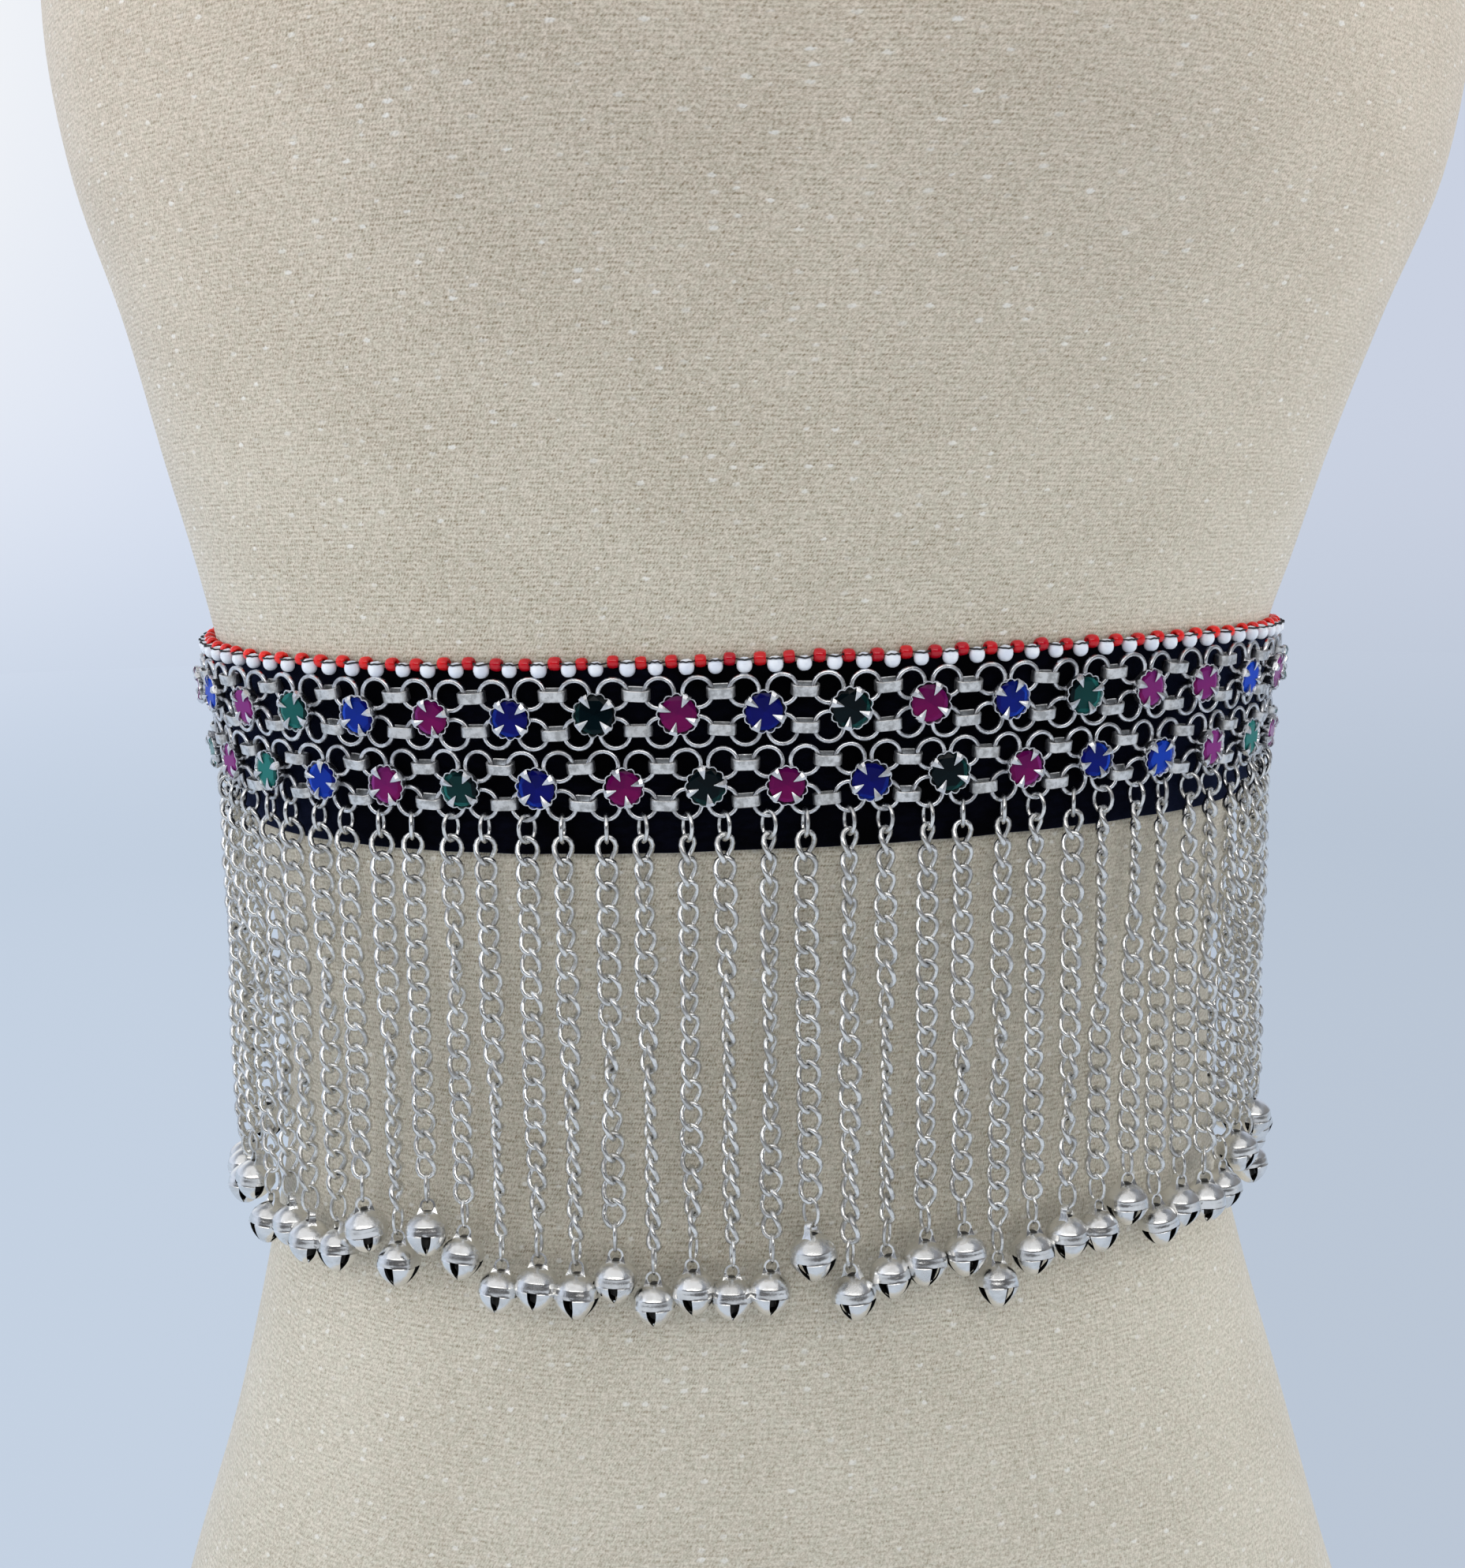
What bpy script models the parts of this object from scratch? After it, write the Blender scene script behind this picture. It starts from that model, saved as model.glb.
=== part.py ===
"""Belly dance hip belt on a limbless torso dress form.

A 38 mm velvet ribbon goes once round the form and laps at the centre back. Two rows of
openwork metal, each a run of jewelled four-ring clusters, lie on the ribbon. The lower
row also carries the fringe of chains, and each chain ends in a round bell.
Metres, +Z up, the front faces -Y, and the origin is the middle of the form's underside.
"""
import math

import bmesh
import bpy
import numpy as np
from mathutils import Vector

# Dress form: each row is a level cross-section, from the underside up to the neck.
FORM_SECTIONS = (
    # height, half width, front, back, squareness, middle toward +X
    (0.000, 0.1500, 0.0880, 0.1040, 2.30, 0.0000),
    (0.060, 0.1605, 0.0920, 0.1100, 2.30, 0.0004),
    (0.110, 0.1582, 0.0905, 0.1070, 2.30, 0.0008),
    (0.150, 0.1468, 0.0865, 0.0980, 2.25, 0.0006),
    (0.190, 0.1346, 0.0805, 0.0840, 2.20, 0.0014),
    (0.230, 0.1237, 0.0755, 0.0715, 2.15, 0.0006),
    (0.262, 0.1165, 0.0730, 0.0675, 2.12, 0.0000),
    (0.300, 0.1152, 0.0725, 0.0672, 2.12, 0.0000),
    (0.330, 0.1183, 0.0742, 0.0696, 2.12, 0.0000),
    (0.347, 0.1210, 0.0759, 0.0714, 2.12, 0.0000),
    (0.366, 0.1238, 0.0773, 0.0730, 2.12, 0.0000),
    (0.385, 0.1265, 0.0787, 0.0745, 2.12, 0.0000),
    (0.400, 0.1306, 0.0800, 0.0760, 2.12, 0.0010),
    (0.425, 0.1375, 0.0825, 0.0790, 2.15, 0.0020),
    (0.455, 0.1462, 0.0870, 0.0840, 2.20, 0.0041),
    (0.485, 0.1564, 0.0910, 0.0885, 2.25, 0.0058),
    (0.510, 0.1600, 0.0930, 0.0920, 2.30, 0.0060),
    (0.550, 0.1585, 0.0910, 0.0960, 2.30, 0.0058),
    (0.600, 0.1548, 0.0840, 0.0960, 2.30, 0.0054),
    (0.640, 0.1484, 0.0720, 0.0880, 2.30, 0.0052),
    (0.665, 0.1310, 0.0600, 0.0760, 2.25, 0.0050),
    (0.685, 0.0990, 0.0500, 0.0650, 2.15, 0.0050),
    (0.698, 0.0710, 0.0460, 0.0580, 2.05, 0.0050),
    (0.710, 0.0560, 0.0450, 0.0530, 2.00, 0.0050),
    (0.740, 0.0520, 0.0450, 0.0500, 2.00, 0.0050),
)
FORM_RINGS = (
    # from height, to height, steps
    (0.000, 0.330, 8),
    (0.330, 0.402, 6),
    (0.402, 0.640, 9),
    (0.640, 0.740, 7),
)
FORM_SIDES = 40
BUST_HEIGHT = 0.515
BUST_FROM_MIDDLE = 0.064
BUST_RISE = 0.020
BUST_SPREAD_UP = 0.045
BUST_SPREAD_OUT = 0.048
BUST_SPREAD_IN = 0.120                # wide, because the cover stretches from side to side

# Velvet ribbon. Its top edge dips at the centre front and rises toward the right side.
RIBBON_HEIGHT = 0.038
RIBBON_WALL = 0.0012
RIBBON_OFF_FORM = 0.00045
RIBBON_TOP = 0.385
TOP_EDGE_WAVES = ((1, -0.0039, -0.0002), (2, 0.0004, 0.0014))     # turns, cosine, sine
RIBBON_END = 0.3285
RIBBON_LAP = 0.0130
LAP_RISE = 0.0017
LAP_EASE = (0.3045, 0.3145)
RIBBON_STEPS = (84, 2)
GIRTH_SAMPLES = 1441
TURN_STEP = 0.002

# Jewelled rows. A cluster is four rings round a jewel, drawn flat as along, down.
CLUSTER_PITCH = 0.01642
CLUSTERS = range(-19, 19)
ROW_OFF_RIBBON = 0.0004
ROW_THICKNESS = 0.0021
RING_FROM_JEWEL = (0.0037, 0.0037)
RING_RADIUS = 0.0034
LOBE_NOTCH = 0.6                      # of the ring's radius
LINK_EDGES = (0.0026, 0.0049)
LINK_REACH = 0.0070
OPENING_TIP = 0.0050
JEWEL_RADIUS = 0.0043
JEWEL_SIDES = 8
JEWEL_CROWN = 0.0022
JEWEL_TABLE = 0.82
ROWS = {
    "jewel_row_upper": {"down": 0.0091, "shift": -0.0034, "fringed": False},
    "bell_fringe": {"down": 0.0235, "shift": 0.0011, "fringed": True},
}

# Fringe. A chain hangs from each lower ring of the lower row, with a bell at its end.
CHAIN_WIDTH = 0.0034
CHAIN_DROP = 0.0976
BELL_RADIUS = 0.0039
BELL_SIDES = 8
BELL_RINGS = 4
BELL_SPACING = CLUSTER_PITCH / 2
DROP_CHANGES = (
    # left chain, right chain, in millimetres, from six clusters left of the middle
    (0.5, -6.2), (0.0, -8.7), (-3.8, 2.8), (1.4, 2.7), (-0.5, 4.5), (2.0, 3.5), (2.8, -5.1),
    (4.5, 1.3), (-0.9, -1.6), (6.2, 0.7), (-1.2, -1.0), (-5.2, 1.7), (-0.4, 0.6),
)
FIRST_CHANGE = -6

MATERIALS = {                         # colour, roughness, metallic
    "dress_form": ((0.56, 0.49, 0.38), 0.90, 0.0),
    "velvet_ribbon": ((0.008, 0.008, 0.012), 0.95, 0.0),
    "jewel_row_upper": ((0.62, 0.61, 0.59), 0.32, 1.0),
    "bell_fringe": ((0.66, 0.65, 0.63), 0.32, 1.0),
}


def form_section(height):
    """The section at a height, eased between the rows."""
    rows = np.array(FORM_SECTIONS)
    slopes = np.gradient(rows[:, 1:], rows[:, 0], axis=0)
    below = min(max(np.searchsorted(rows[:, 0], height) - 1, 0), len(rows) - 2)
    step = rows[below + 1, 0] - rows[below, 0]
    part = min(max((height - rows[below, 0]) / step, 0.0), 1.0)
    rise = part * part * (3 - 2 * part)
    lead = part * (1 - part) ** 2 * step * slopes[below]
    trail = part * part * (1 - part) * step * slopes[below + 1]
    return rows[below, 1:] * (1 - rise) + rows[below + 1, 1:] * rise + lead - trail


def form_point(turn, height):
    """Point on the form's surface. Turn 0 is the centre front and grows toward +X."""
    half_width, front, back, squareness, middle = form_section(height)
    across, toward = math.sin(turn), math.cos(turn)
    x = half_width * math.copysign(abs(across) ** (2 / squareness), across)
    depth = front if toward > 0 else back
    y = -depth * math.copysign(abs(toward) ** (2 / squareness), toward)
    if toward > 0:
        spread = BUST_SPREAD_OUT if abs(x) > BUST_FROM_MIDDLE else BUST_SPREAD_IN
        sideways = (abs(x) - BUST_FROM_MIDDLE) / spread
        upward = (height - BUST_HEIGHT) / BUST_SPREAD_UP
        y -= BUST_RISE * toward * math.exp(-sideways ** 2 - upward ** 2)
    return Vector((middle + x, y, height))


def lifted_point(turn, height, lift):
    """Point at a level distance from the form's surface."""
    along = form_point(turn + TURN_STEP, height) - form_point(turn - TURN_STEP, height)
    return form_point(turn, height) + Vector((along.y, -along.x, 0)).normalized() * lift


def girth_table():
    """Turns round the ribbon's middle line, and the length along the ribbon at each."""
    turns = np.linspace(-math.pi, math.pi, GIRTH_SAMPLES)
    height = RIBBON_TOP - RIBBON_HEIGHT / 2
    lift = RIBBON_OFF_FORM + RIBBON_WALL
    line = np.array([lifted_point(turn, height, lift) for turn in turns])
    steps = np.linalg.norm(np.diff(line, axis=0), axis=1)
    lengths = np.concatenate(([0.0], np.cumsum(steps)))
    return turns, lengths - lengths[len(turns) // 2]


TURNS, LENGTHS = girth_table()
GIRTH = LENGTHS[-1] - LENGTHS[0]


def turn_at(along):
    """Turn at a length along the ribbon from the centre front."""
    wrapped = (along - LENGTHS[0]) % GIRTH + LENGTHS[0]
    return float(np.interp(wrapped, LENGTHS, TURNS))


def top_edge(turn):
    """Height of the ribbon's top edge."""
    waves = (cosine * math.cos(turns * turn) + sine * math.sin(turns * turn)
             for turns, cosine, sine in TOP_EDGE_WAVES)
    return RIBBON_TOP + sum(waves)


def place(along, down, out):
    """Point beside the ribbon: along it, down from its top edge, out from the form."""
    turn = turn_at(along)
    return lifted_point(turn, top_edge(turn) - down, out)


def hang(along, down, out, root):
    """The same, but below the root the point hangs straight down."""
    point = place(along, min(down, root), out)
    point.z -= max(down - root, 0.0)
    return point


def new_object(name, bm, collection):
    """Object with its own material, made from a bmesh whose faces point out."""
    bmesh.ops.recalc_face_normals(bm, faces=bm.faces)
    if bm.calc_volume(signed=True) < 0:
        bmesh.ops.reverse_faces(bm, faces=bm.faces)
    mesh = bpy.data.meshes.new(name)
    bm.to_mesh(mesh)
    bm.free()
    colour, roughness, metallic = MATERIALS[name]
    material = bpy.data.materials.new(name)
    material.use_nodes = True
    surface = material.node_tree.nodes["Principled BSDF"]
    surface.inputs["Base Color"].default_value = (*colour, 1.0)
    surface.inputs["Roughness"].default_value = roughness
    surface.inputs["Metallic"].default_value = metallic
    mesh.materials.append(material)
    part = bpy.data.objects.new(name, mesh)
    collection.objects.link(part)
    return part


def unit_grid(columns, rows):
    """Flat grid whose points run from 0 to 1 both ways."""
    bm = bmesh.new()
    bmesh.ops.create_grid(bm, x_segments=columns, y_segments=rows, size=0.5)
    bmesh.ops.translate(bm, verts=bm.verts, vec=(0.5, 0.5, 0.0))
    return bm


def make_dress_form(collection):
    """The torso: a grid rolled round the sections, welded at the back and capped."""
    heights = [FORM_RINGS[0][0]]
    for low, high, steps in FORM_RINGS:
        heights += list(np.linspace(low, high, steps + 1)[1:])
    bm = unit_grid(FORM_SIDES, len(heights) - 1)
    for vert in bm.verts:
        height = heights[round(vert.co.y * (len(heights) - 1))]
        vert.co = form_point(turn_at((vert.co.x - 0.5) * GIRTH), height)
    bmesh.ops.remove_doubles(bm, verts=bm.verts, dist=1e-5)
    bmesh.ops.holes_fill(bm, edges=[edge for edge in bm.edges if edge.is_boundary])
    part = new_object("dress_form", bm, collection)
    part.data.shade_smooth()
    part.data.set_sharp_from_angle(angle=math.radians(50))


def make_velvet_ribbon(collection):
    """The ribbon's inner face round the form, with a wall, its outer end lapped over."""
    length = GIRTH + RIBBON_LAP
    bm = unit_grid(*RIBBON_STEPS)
    for vert in bm.verts:
        along = RIBBON_END - (1 - vert.co.x) * length
        lap = np.interp(along, LAP_EASE, (0.0, LAP_RISE))
        vert.co = place(along, (1 - vert.co.y) * RIBBON_HEIGHT, RIBBON_OFF_FORM + lap)
    part = new_object("velvet_ribbon", bm, collection)
    wall = part.modifiers.new("wall", "SOLIDIFY")
    wall.thickness = RIBBON_WALL
    wall.offset = 1.0
    wall.use_even_offset = True


def row_outline(centre, side, fringed):
    """Edge of one cluster from left to right: two lobes, flat where chains hang."""
    ring_along, ring_down = RING_FROM_JEWEL
    reach = ring_down + RING_RADIUS
    half_flat = CHAIN_WIDTH / 2 if fringed else 0.0
    points = [(-LINK_REACH, LINK_EDGES[1])]
    for ring in (-ring_along, ring_along):
        points += [(ring - half_flat, reach)]
        if fringed:
            points += [(ring + half_flat, reach)]
        if ring < 0:
            points += [(0.0, ring_down + RING_RADIUS * LOBE_NOTCH)]
    points += [(LINK_REACH, LINK_EDGES[1])]
    return [(centre + along, side * down) for along, down in points]


def add_loop(bm, points):
    """Closed loop of edges through flat points."""
    verts = [bm.verts.new((along, down, 0.0)) for along, down in points]
    return [bm.edges.new((verts[i - 1], verts[i])) for i in range(len(verts))]


def flat_row(row):
    """The row drawn flat: lobed outline, an opening between clusters, jewel seats."""
    centres = [row["shift"] + cluster * CLUSTER_PITCH for cluster in CLUSTERS]
    bm = bmesh.new()
    top, bottom = [], []
    for centre in centres:
        top += row_outline(centre, -1, False)
        bottom += row_outline(centre, 1, row["fringed"])
    edges = add_loop(bm, top + bottom[::-1])
    for centre, following in zip(centres, centres[1:]):
        edges += add_loop(bm, [
            (centre + OPENING_TIP, 0.0),
            (centre + LINK_REACH, -LINK_EDGES[0]),
            (following - LINK_REACH, -LINK_EDGES[0]),
            (following - OPENING_TIP, 0.0),
            (following - LINK_REACH, LINK_EDGES[0]),
            (centre + LINK_REACH, LINK_EDGES[0]),
        ])
    seats = []
    for centre in centres:
        angles = [math.tau * (side + 0.5) / JEWEL_SIDES for side in range(JEWEL_SIDES)]
        seats.append(add_loop(bm, [(centre + JEWEL_RADIUS * math.cos(angle),
                                    JEWEL_RADIUS * math.sin(angle)) for angle in angles]))
    bmesh.ops.triangle_fill(bm, edges=edges + sum(seats, []), use_beauty=True)
    for seat in seats:
        bmesh.ops.contextual_create(bm, geom=seat)
    return bm, centres


def raise_jewels(bm):
    """Each jewel seat rises to a narrower table above the row's front."""
    seats = [face for face in bm.faces if len(face.verts) == JEWEL_SIDES
             and face.calc_center_median().z > ROW_THICKNESS / 2]
    for seat in seats:
        table = bmesh.ops.extrude_discrete_faces(bm, faces=[seat])["faces"][0]
        middle = table.calc_center_median()
        for vert in table.verts:
            vert.co = middle + (vert.co - middle) * JEWEL_TABLE
            vert.co.z += JEWEL_CROWN


def drop_change(cluster, side):
    """How much longer one chain hangs than the usual drop."""
    left, right = DROP_CHANGES[(cluster - FIRST_CHANGE) % len(DROP_CHANGES)]
    return (left if side < 0 else right) * 0.001


def hang_chain(bm, root_face, bell_along, bell_down):
    """Draw a four-sided chain down from a lobe's flat foot and end it in a bell."""
    foot = bmesh.ops.extrude_discrete_faces(bm, faces=[root_face])["faces"][0]
    middle = foot.calc_center_median()
    neck_down = bell_down - BELL_RADIUS
    bmesh.ops.translate(bm, verts=foot.verts,
                        vec=(bell_along - middle.x, neck_down - middle.y, 0.0))
    foot_edges = list(foot.edges)
    bmesh.ops.delete(bm, geom=[foot], context="FACES_ONLY")
    bell = bmesh.ops.create_uvsphere(bm, u_segments=BELL_SIDES, v_segments=BELL_RINGS,
                                     radius=BELL_RADIUS)["verts"]
    pole = max(bell, key=lambda vert: vert.co.z)
    rim_verts = {edge.other_vert(pole) for edge in pole.link_edges}
    bmesh.ops.delete(bm, geom=[pole], context="VERTS")
    bell = [vert for vert in bell if vert.is_valid]
    for vert in bell:
        across, depth, height = vert.co
        vert.co = (bell_along + across, bell_down - height, ROW_THICKNESS / 2 + depth)
    rim_edges = [edge for vert in rim_verts for edge in vert.link_edges
                 if edge.is_boundary]
    bmesh.ops.bridge_loops(bm, edges=foot_edges + list(set(rim_edges)))


def hang_fringe(bm, centres):
    """Two chains under each cluster, one from each lower ring, bells evenly spaced."""
    ring_along, ring_down = RING_FROM_JEWEL
    reach = ring_down + RING_RADIUS
    for cluster, centre in zip(CLUSTERS, centres):
        for side in (-1, 1):
            root = Vector((centre + side * ring_along, reach, ROW_THICKNESS / 2))
            face = min(bm.faces, key=lambda f: (f.calc_center_median() - root).length)
            drop = CHAIN_DROP + drop_change(cluster, side)
            hang_chain(bm, face, centre + side * BELL_SPACING / 2, reach + drop)


def make_row(name, row, collection):
    """A jewelled row: drawn flat, thickened, finished, then wrapped on the ribbon."""
    bm, centres = flat_row(row)
    front = bmesh.ops.extrude_face_region(bm, geom=list(bm.faces))["geom"]
    verts = [item for item in front if isinstance(item, bmesh.types.BMVert)]
    bmesh.ops.translate(bm, verts=verts, vec=(0.0, 0.0, ROW_THICKNESS))
    raise_jewels(bm)
    if row["fringed"]:
        hang_fringe(bm, centres)
    root = row["down"] + RING_FROM_JEWEL[1] + RING_RADIUS
    base = RIBBON_OFF_FORM + RIBBON_WALL + ROW_OFF_RIBBON
    for vert in bm.verts:
        along, below, out = vert.co
        vert.co = hang(along, row["down"] + below, base + out, root)
    new_object(name, bm, collection)


def build():
    """Clear the scene and model every piece."""
    for leftover in list(bpy.data.objects):
        bpy.data.objects.remove(leftover, do_unlink=True)
    collection = bpy.data.collections.new("belly_dance_hip_belt")
    bpy.context.scene.collection.children.link(collection)
    make_dress_form(collection)
    make_velvet_ribbon(collection)
    for name, row in ROWS.items():
        make_row(name, row, collection)


build()
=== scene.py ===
import math
import random

import bmesh
import bpy
import numpy as np
from mathutils import Euler, Matrix, Vector


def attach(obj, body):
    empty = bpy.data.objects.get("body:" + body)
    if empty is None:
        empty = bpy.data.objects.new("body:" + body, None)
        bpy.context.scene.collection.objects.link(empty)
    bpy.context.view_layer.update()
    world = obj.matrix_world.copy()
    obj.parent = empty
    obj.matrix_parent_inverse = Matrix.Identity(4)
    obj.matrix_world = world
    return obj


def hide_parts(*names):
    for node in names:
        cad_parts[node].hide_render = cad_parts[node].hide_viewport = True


# Belly dance hip belt on a limbless torso form. Metres, front towards -Y, standing on z = 0.
# Sizes written with mm below are millimetres.
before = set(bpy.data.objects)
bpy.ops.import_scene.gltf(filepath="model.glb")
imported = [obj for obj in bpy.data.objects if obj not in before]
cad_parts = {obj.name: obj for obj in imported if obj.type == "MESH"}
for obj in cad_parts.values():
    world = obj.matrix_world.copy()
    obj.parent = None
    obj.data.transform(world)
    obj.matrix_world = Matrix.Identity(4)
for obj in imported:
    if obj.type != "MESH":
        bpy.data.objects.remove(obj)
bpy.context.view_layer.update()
mm = 0.001
print("solids loaded")


# shader and geometry node helpers

def feed(tree, slots, values):
    # slots by name or number: a socket is linked, anything else is set as the slot's own value
    for label, value in values.items():
        slot = slots[label]
        if isinstance(value, bpy.types.NodeSocket):
            tree.links.new(value, slot)
        elif slot.type == "RGBA" and len(value) == 3:
            slot.default_value = (*value, 1.0)
        else:
            slot.default_value = value


def addNode(tree, kind, values, **settings):
    # the values feed its inputs, and its outputs are given back
    node = tree.nodes.new(kind)
    for setting, value in settings.items():
        setattr(node, setting, value)
    feed(tree, node.inputs, values)
    return node.outputs


def calc(tree, operation, *values, clamp=False):
    settings = {"operation": operation, "use_clamp": clamp}
    return addNode(tree, "ShaderNodeMath", dict(enumerate(values)), **settings)[0]


def blend(tree, factor, first, second, mode="MIX"):
    settings = {"data_type": "RGBA", "blend_type": mode}
    return addNode(tree, "ShaderNodeMix", {0: factor, 6: first, 7: second}, **settings)[2]


def remap(tree, value, low, high, start=0.0, end=1.0):
    values = dict(enumerate((value, low, high, start, end)))
    return addNode(tree, "ShaderNodeMapRange", values, interpolation_type="SMOOTHSTEP")[0]


def noise(tree, place, scale, detail=2.0, roughness=0.5, space="3D"):
    values = {"Vector": place, "Scale": scale, "Detail": detail, "Roughness": roughness}
    return addNode(tree, "ShaderNodeTexNoise", values, noise_dimensions=space)["Fac"]


def stretched(tree, place, scale):
    return addNode(tree, "ShaderNodeMapping", {"Vector": place, "Scale": scale})["Vector"]


def split(tree, vector):
    return addNode(tree, "ShaderNodeSeparateXYZ", {0: vector})


def join(tree, *values):
    return addNode(tree, "ShaderNodeCombineXYZ", dict(enumerate(values)))[0]


def coordinates(tree):
    return addNode(tree, "ShaderNodeTexCoord", {})


def spreadOut(tree):
    for order, node in enumerate(tree.nodes):
        node.location = (order // 5 * 220, order % 5 * -190)


def shaderGroup(name, inputs, outputs):
    tree = bpy.data.node_groups.new(name, "ShaderNodeTree")
    for label, (kind, value) in inputs.items():
        socket = tree.interface.new_socket(label, in_out="INPUT", socket_type=kind)
        socket.default_value = value
    for label, kind in outputs.items():
        tree.interface.new_socket(label, in_out="OUTPUT", socket_type=kind)
    return tree, tree.nodes.new("NodeGroupInput").outputs, tree.nodes.new("NodeGroupOutput").inputs


def placeGroup(tree, group, values):
    return addNode(tree, "ShaderNodeGroup", values, node_tree=group)


def newMaterial(name, view):
    material = bpy.data.materials.new(name)
    material.use_nodes = True
    material.diffuse_color = (*view, 1.0)
    tree = material.node_tree
    return material, tree, tree.nodes["Principled BSDF"].inputs


def addBump(tree, surface, height, distance, strength=1.0):
    values = {"Distance": distance, "Strength": strength, "Height": height}
    feed(tree, surface, {"Normal": addNode(tree, "ShaderNodeBump", values)["Normal"]})


# mesh helpers

def skin(bm, rows, closed=True):
    # quads between rows of points, and a closed row joins its own ends
    lines = [[bm.verts.new(point) for point in row] for row in rows]
    return lines, skinLines(bm, lines, closed)


def skinLines(bm, lines, closed=True):
    faces = []
    for low, high in zip(lines, lines[1:]):
        for i in range(len(low) if closed else len(low) - 1):
            j = (i + 1) % len(low)
            faces.append(bm.faces.new((low[i], low[j], high[j], high[i])))
    return faces


def skinShut(bm, rows):
    # a tube of rows with a flat face at each end
    lines, faces = skin(bm, rows)
    return [*faces, bm.faces.new(lines[0]), bm.faces.new(lines[-1])]


def sweep(bm, path, profile):
    # carries a flat profile (side, up) along an open path in the XZ plane and caps both ends
    rows = []
    for i, point in enumerate(path):
        run = (path[min(i + 1, len(path) - 1)] - path[max(i - 1, 0)]).normalized()
        lift = Vector((-run.z, 0.0, run.x))
        rows.append([point + Vector((0, side, 0)) + lift * up for side, up in profile])
    lines, _ = skin(bm, rows)
    bm.faces.new(lines[0][::-1])
    bm.faces.new(lines[-1])


def facesOut(bm):
    # an open shell has its faces turned away from the upright line through its middle
    bmesh.ops.recalc_face_normals(bm, faces=bm.faces)
    level = Vector((1, 1, 0))
    if sum(face.normal.dot(face.calc_center_median() * level) for face in bm.faces) < 0:
        bmesh.ops.reverse_faces(bm, faces=bm.faces)


def finishMesh(bm, name, smoothAngle=None):
    bmesh.ops.recalc_face_normals(bm, faces=bm.faces)
    mesh = bpy.data.meshes.new(name)
    bm.to_mesh(mesh)
    bm.free()
    if smoothAngle is not None:
        mesh.shade_smooth()
        mesh.set_sharp_from_angle(angle=math.radians(smoothAngle))
    return mesh


def newObject(name, mesh):
    item = bpy.data.objects.new(name, mesh)
    bpy.context.scene.collection.objects.link(item)
    return item


# the torso form and the line of the belt round it

torsoForm = {
    "sections": (
        # height, half width, front, back, squareness, middle toward +X
        (0.000, 0.1500, 0.0880, 0.1040, 2.30, 0.0000),
        (0.060, 0.1605, 0.0920, 0.1100, 2.30, 0.0004),
        (0.110, 0.1582, 0.0905, 0.1070, 2.30, 0.0008),
        (0.150, 0.1468, 0.0865, 0.0980, 2.25, 0.0006),
        (0.190, 0.1346, 0.0805, 0.0840, 2.20, 0.0014),
        (0.230, 0.1237, 0.0755, 0.0715, 2.15, 0.0006),
        (0.262, 0.1165, 0.0730, 0.0675, 2.12, 0.0000),
        (0.300, 0.1152, 0.0725, 0.0672, 2.12, 0.0000),
        (0.330, 0.1183, 0.0742, 0.0696, 2.12, 0.0000),
        (0.347, 0.1210, 0.0759, 0.0714, 2.12, 0.0000),
        (0.366, 0.1238, 0.0773, 0.0730, 2.12, 0.0000),
        (0.385, 0.1265, 0.0787, 0.0745, 2.12, 0.0000),
        (0.400, 0.1306, 0.0800, 0.0760, 2.12, 0.0010),
        (0.425, 0.1375, 0.0825, 0.0790, 2.15, 0.0020),
        (0.455, 0.1462, 0.0870, 0.0840, 2.20, 0.0041),
        (0.485, 0.1564, 0.0910, 0.0885, 2.25, 0.0058),
        (0.510, 0.1600, 0.0930, 0.0920, 2.30, 0.0060),
        (0.550, 0.1585, 0.0910, 0.0960, 2.30, 0.0058),
        (0.600, 0.1548, 0.0840, 0.0960, 2.30, 0.0054),
        (0.640, 0.1484, 0.0720, 0.0880, 2.30, 0.0052),
        (0.665, 0.1310, 0.0600, 0.0760, 2.25, 0.0050),
        (0.685, 0.0990, 0.0500, 0.0650, 2.15, 0.0050),
        (0.698, 0.0710, 0.0460, 0.0580, 2.05, 0.0050),
        (0.710, 0.0560, 0.0450, 0.0530, 2.00, 0.0050),
        (0.740, 0.0520, 0.0450, 0.0500, 2.00, 0.0050),
    ),
    "bustHeight": 0.515,
    "bustFromMiddle": 0.064,
    "bustRise": 0.020,
    "bustSpreadUp": 0.045,
    "bustSpreadOut": 0.048,
    "bustSpreadIn": 0.120,
    "columns": 168,
    "rowStep": 0.0045,
    "edgeRound": 0.0035,
    "edgeAngles": (22.5, 45.0, 67.5, 90.0),
    "capShares": (0.75, 0.5, 0.25),
    "slopeTurn": 0.002,                                         # turn over which a slope is taken
    "halfTurnSteps": 720,
}
velvetRibbon = {
    "height": 0.038,
    "wall": 0.0012,
    "offForm": 0.00045,
    "top": 0.385,
    "topWaves": ((1, -0.0039, -0.0002), (2, 0.0004, 0.0014)),   # turns, cosine, sine
    "end": 0.3285,
    "lap": 0.0130,
    "lapRise": 0.0017,
    "lapEase": (0.3045, 0.3145),
    "columns": 420,
    "rows": 14,
    "edgeRipple": 0.00016,
    "rippleRates": (60, 420),
    "rippleCount": 5,
    "edgeBevel": 0.0003,
    "seed": 4,
}
sectionRows = np.array(torsoForm["sections"])
sectionSlopes = np.gradient(sectionRows[:, 1:], sectionRows[:, 0], axis=0)
ribbonFace = velvetRibbon["offForm"] + velvetRibbon["wall"]


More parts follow.
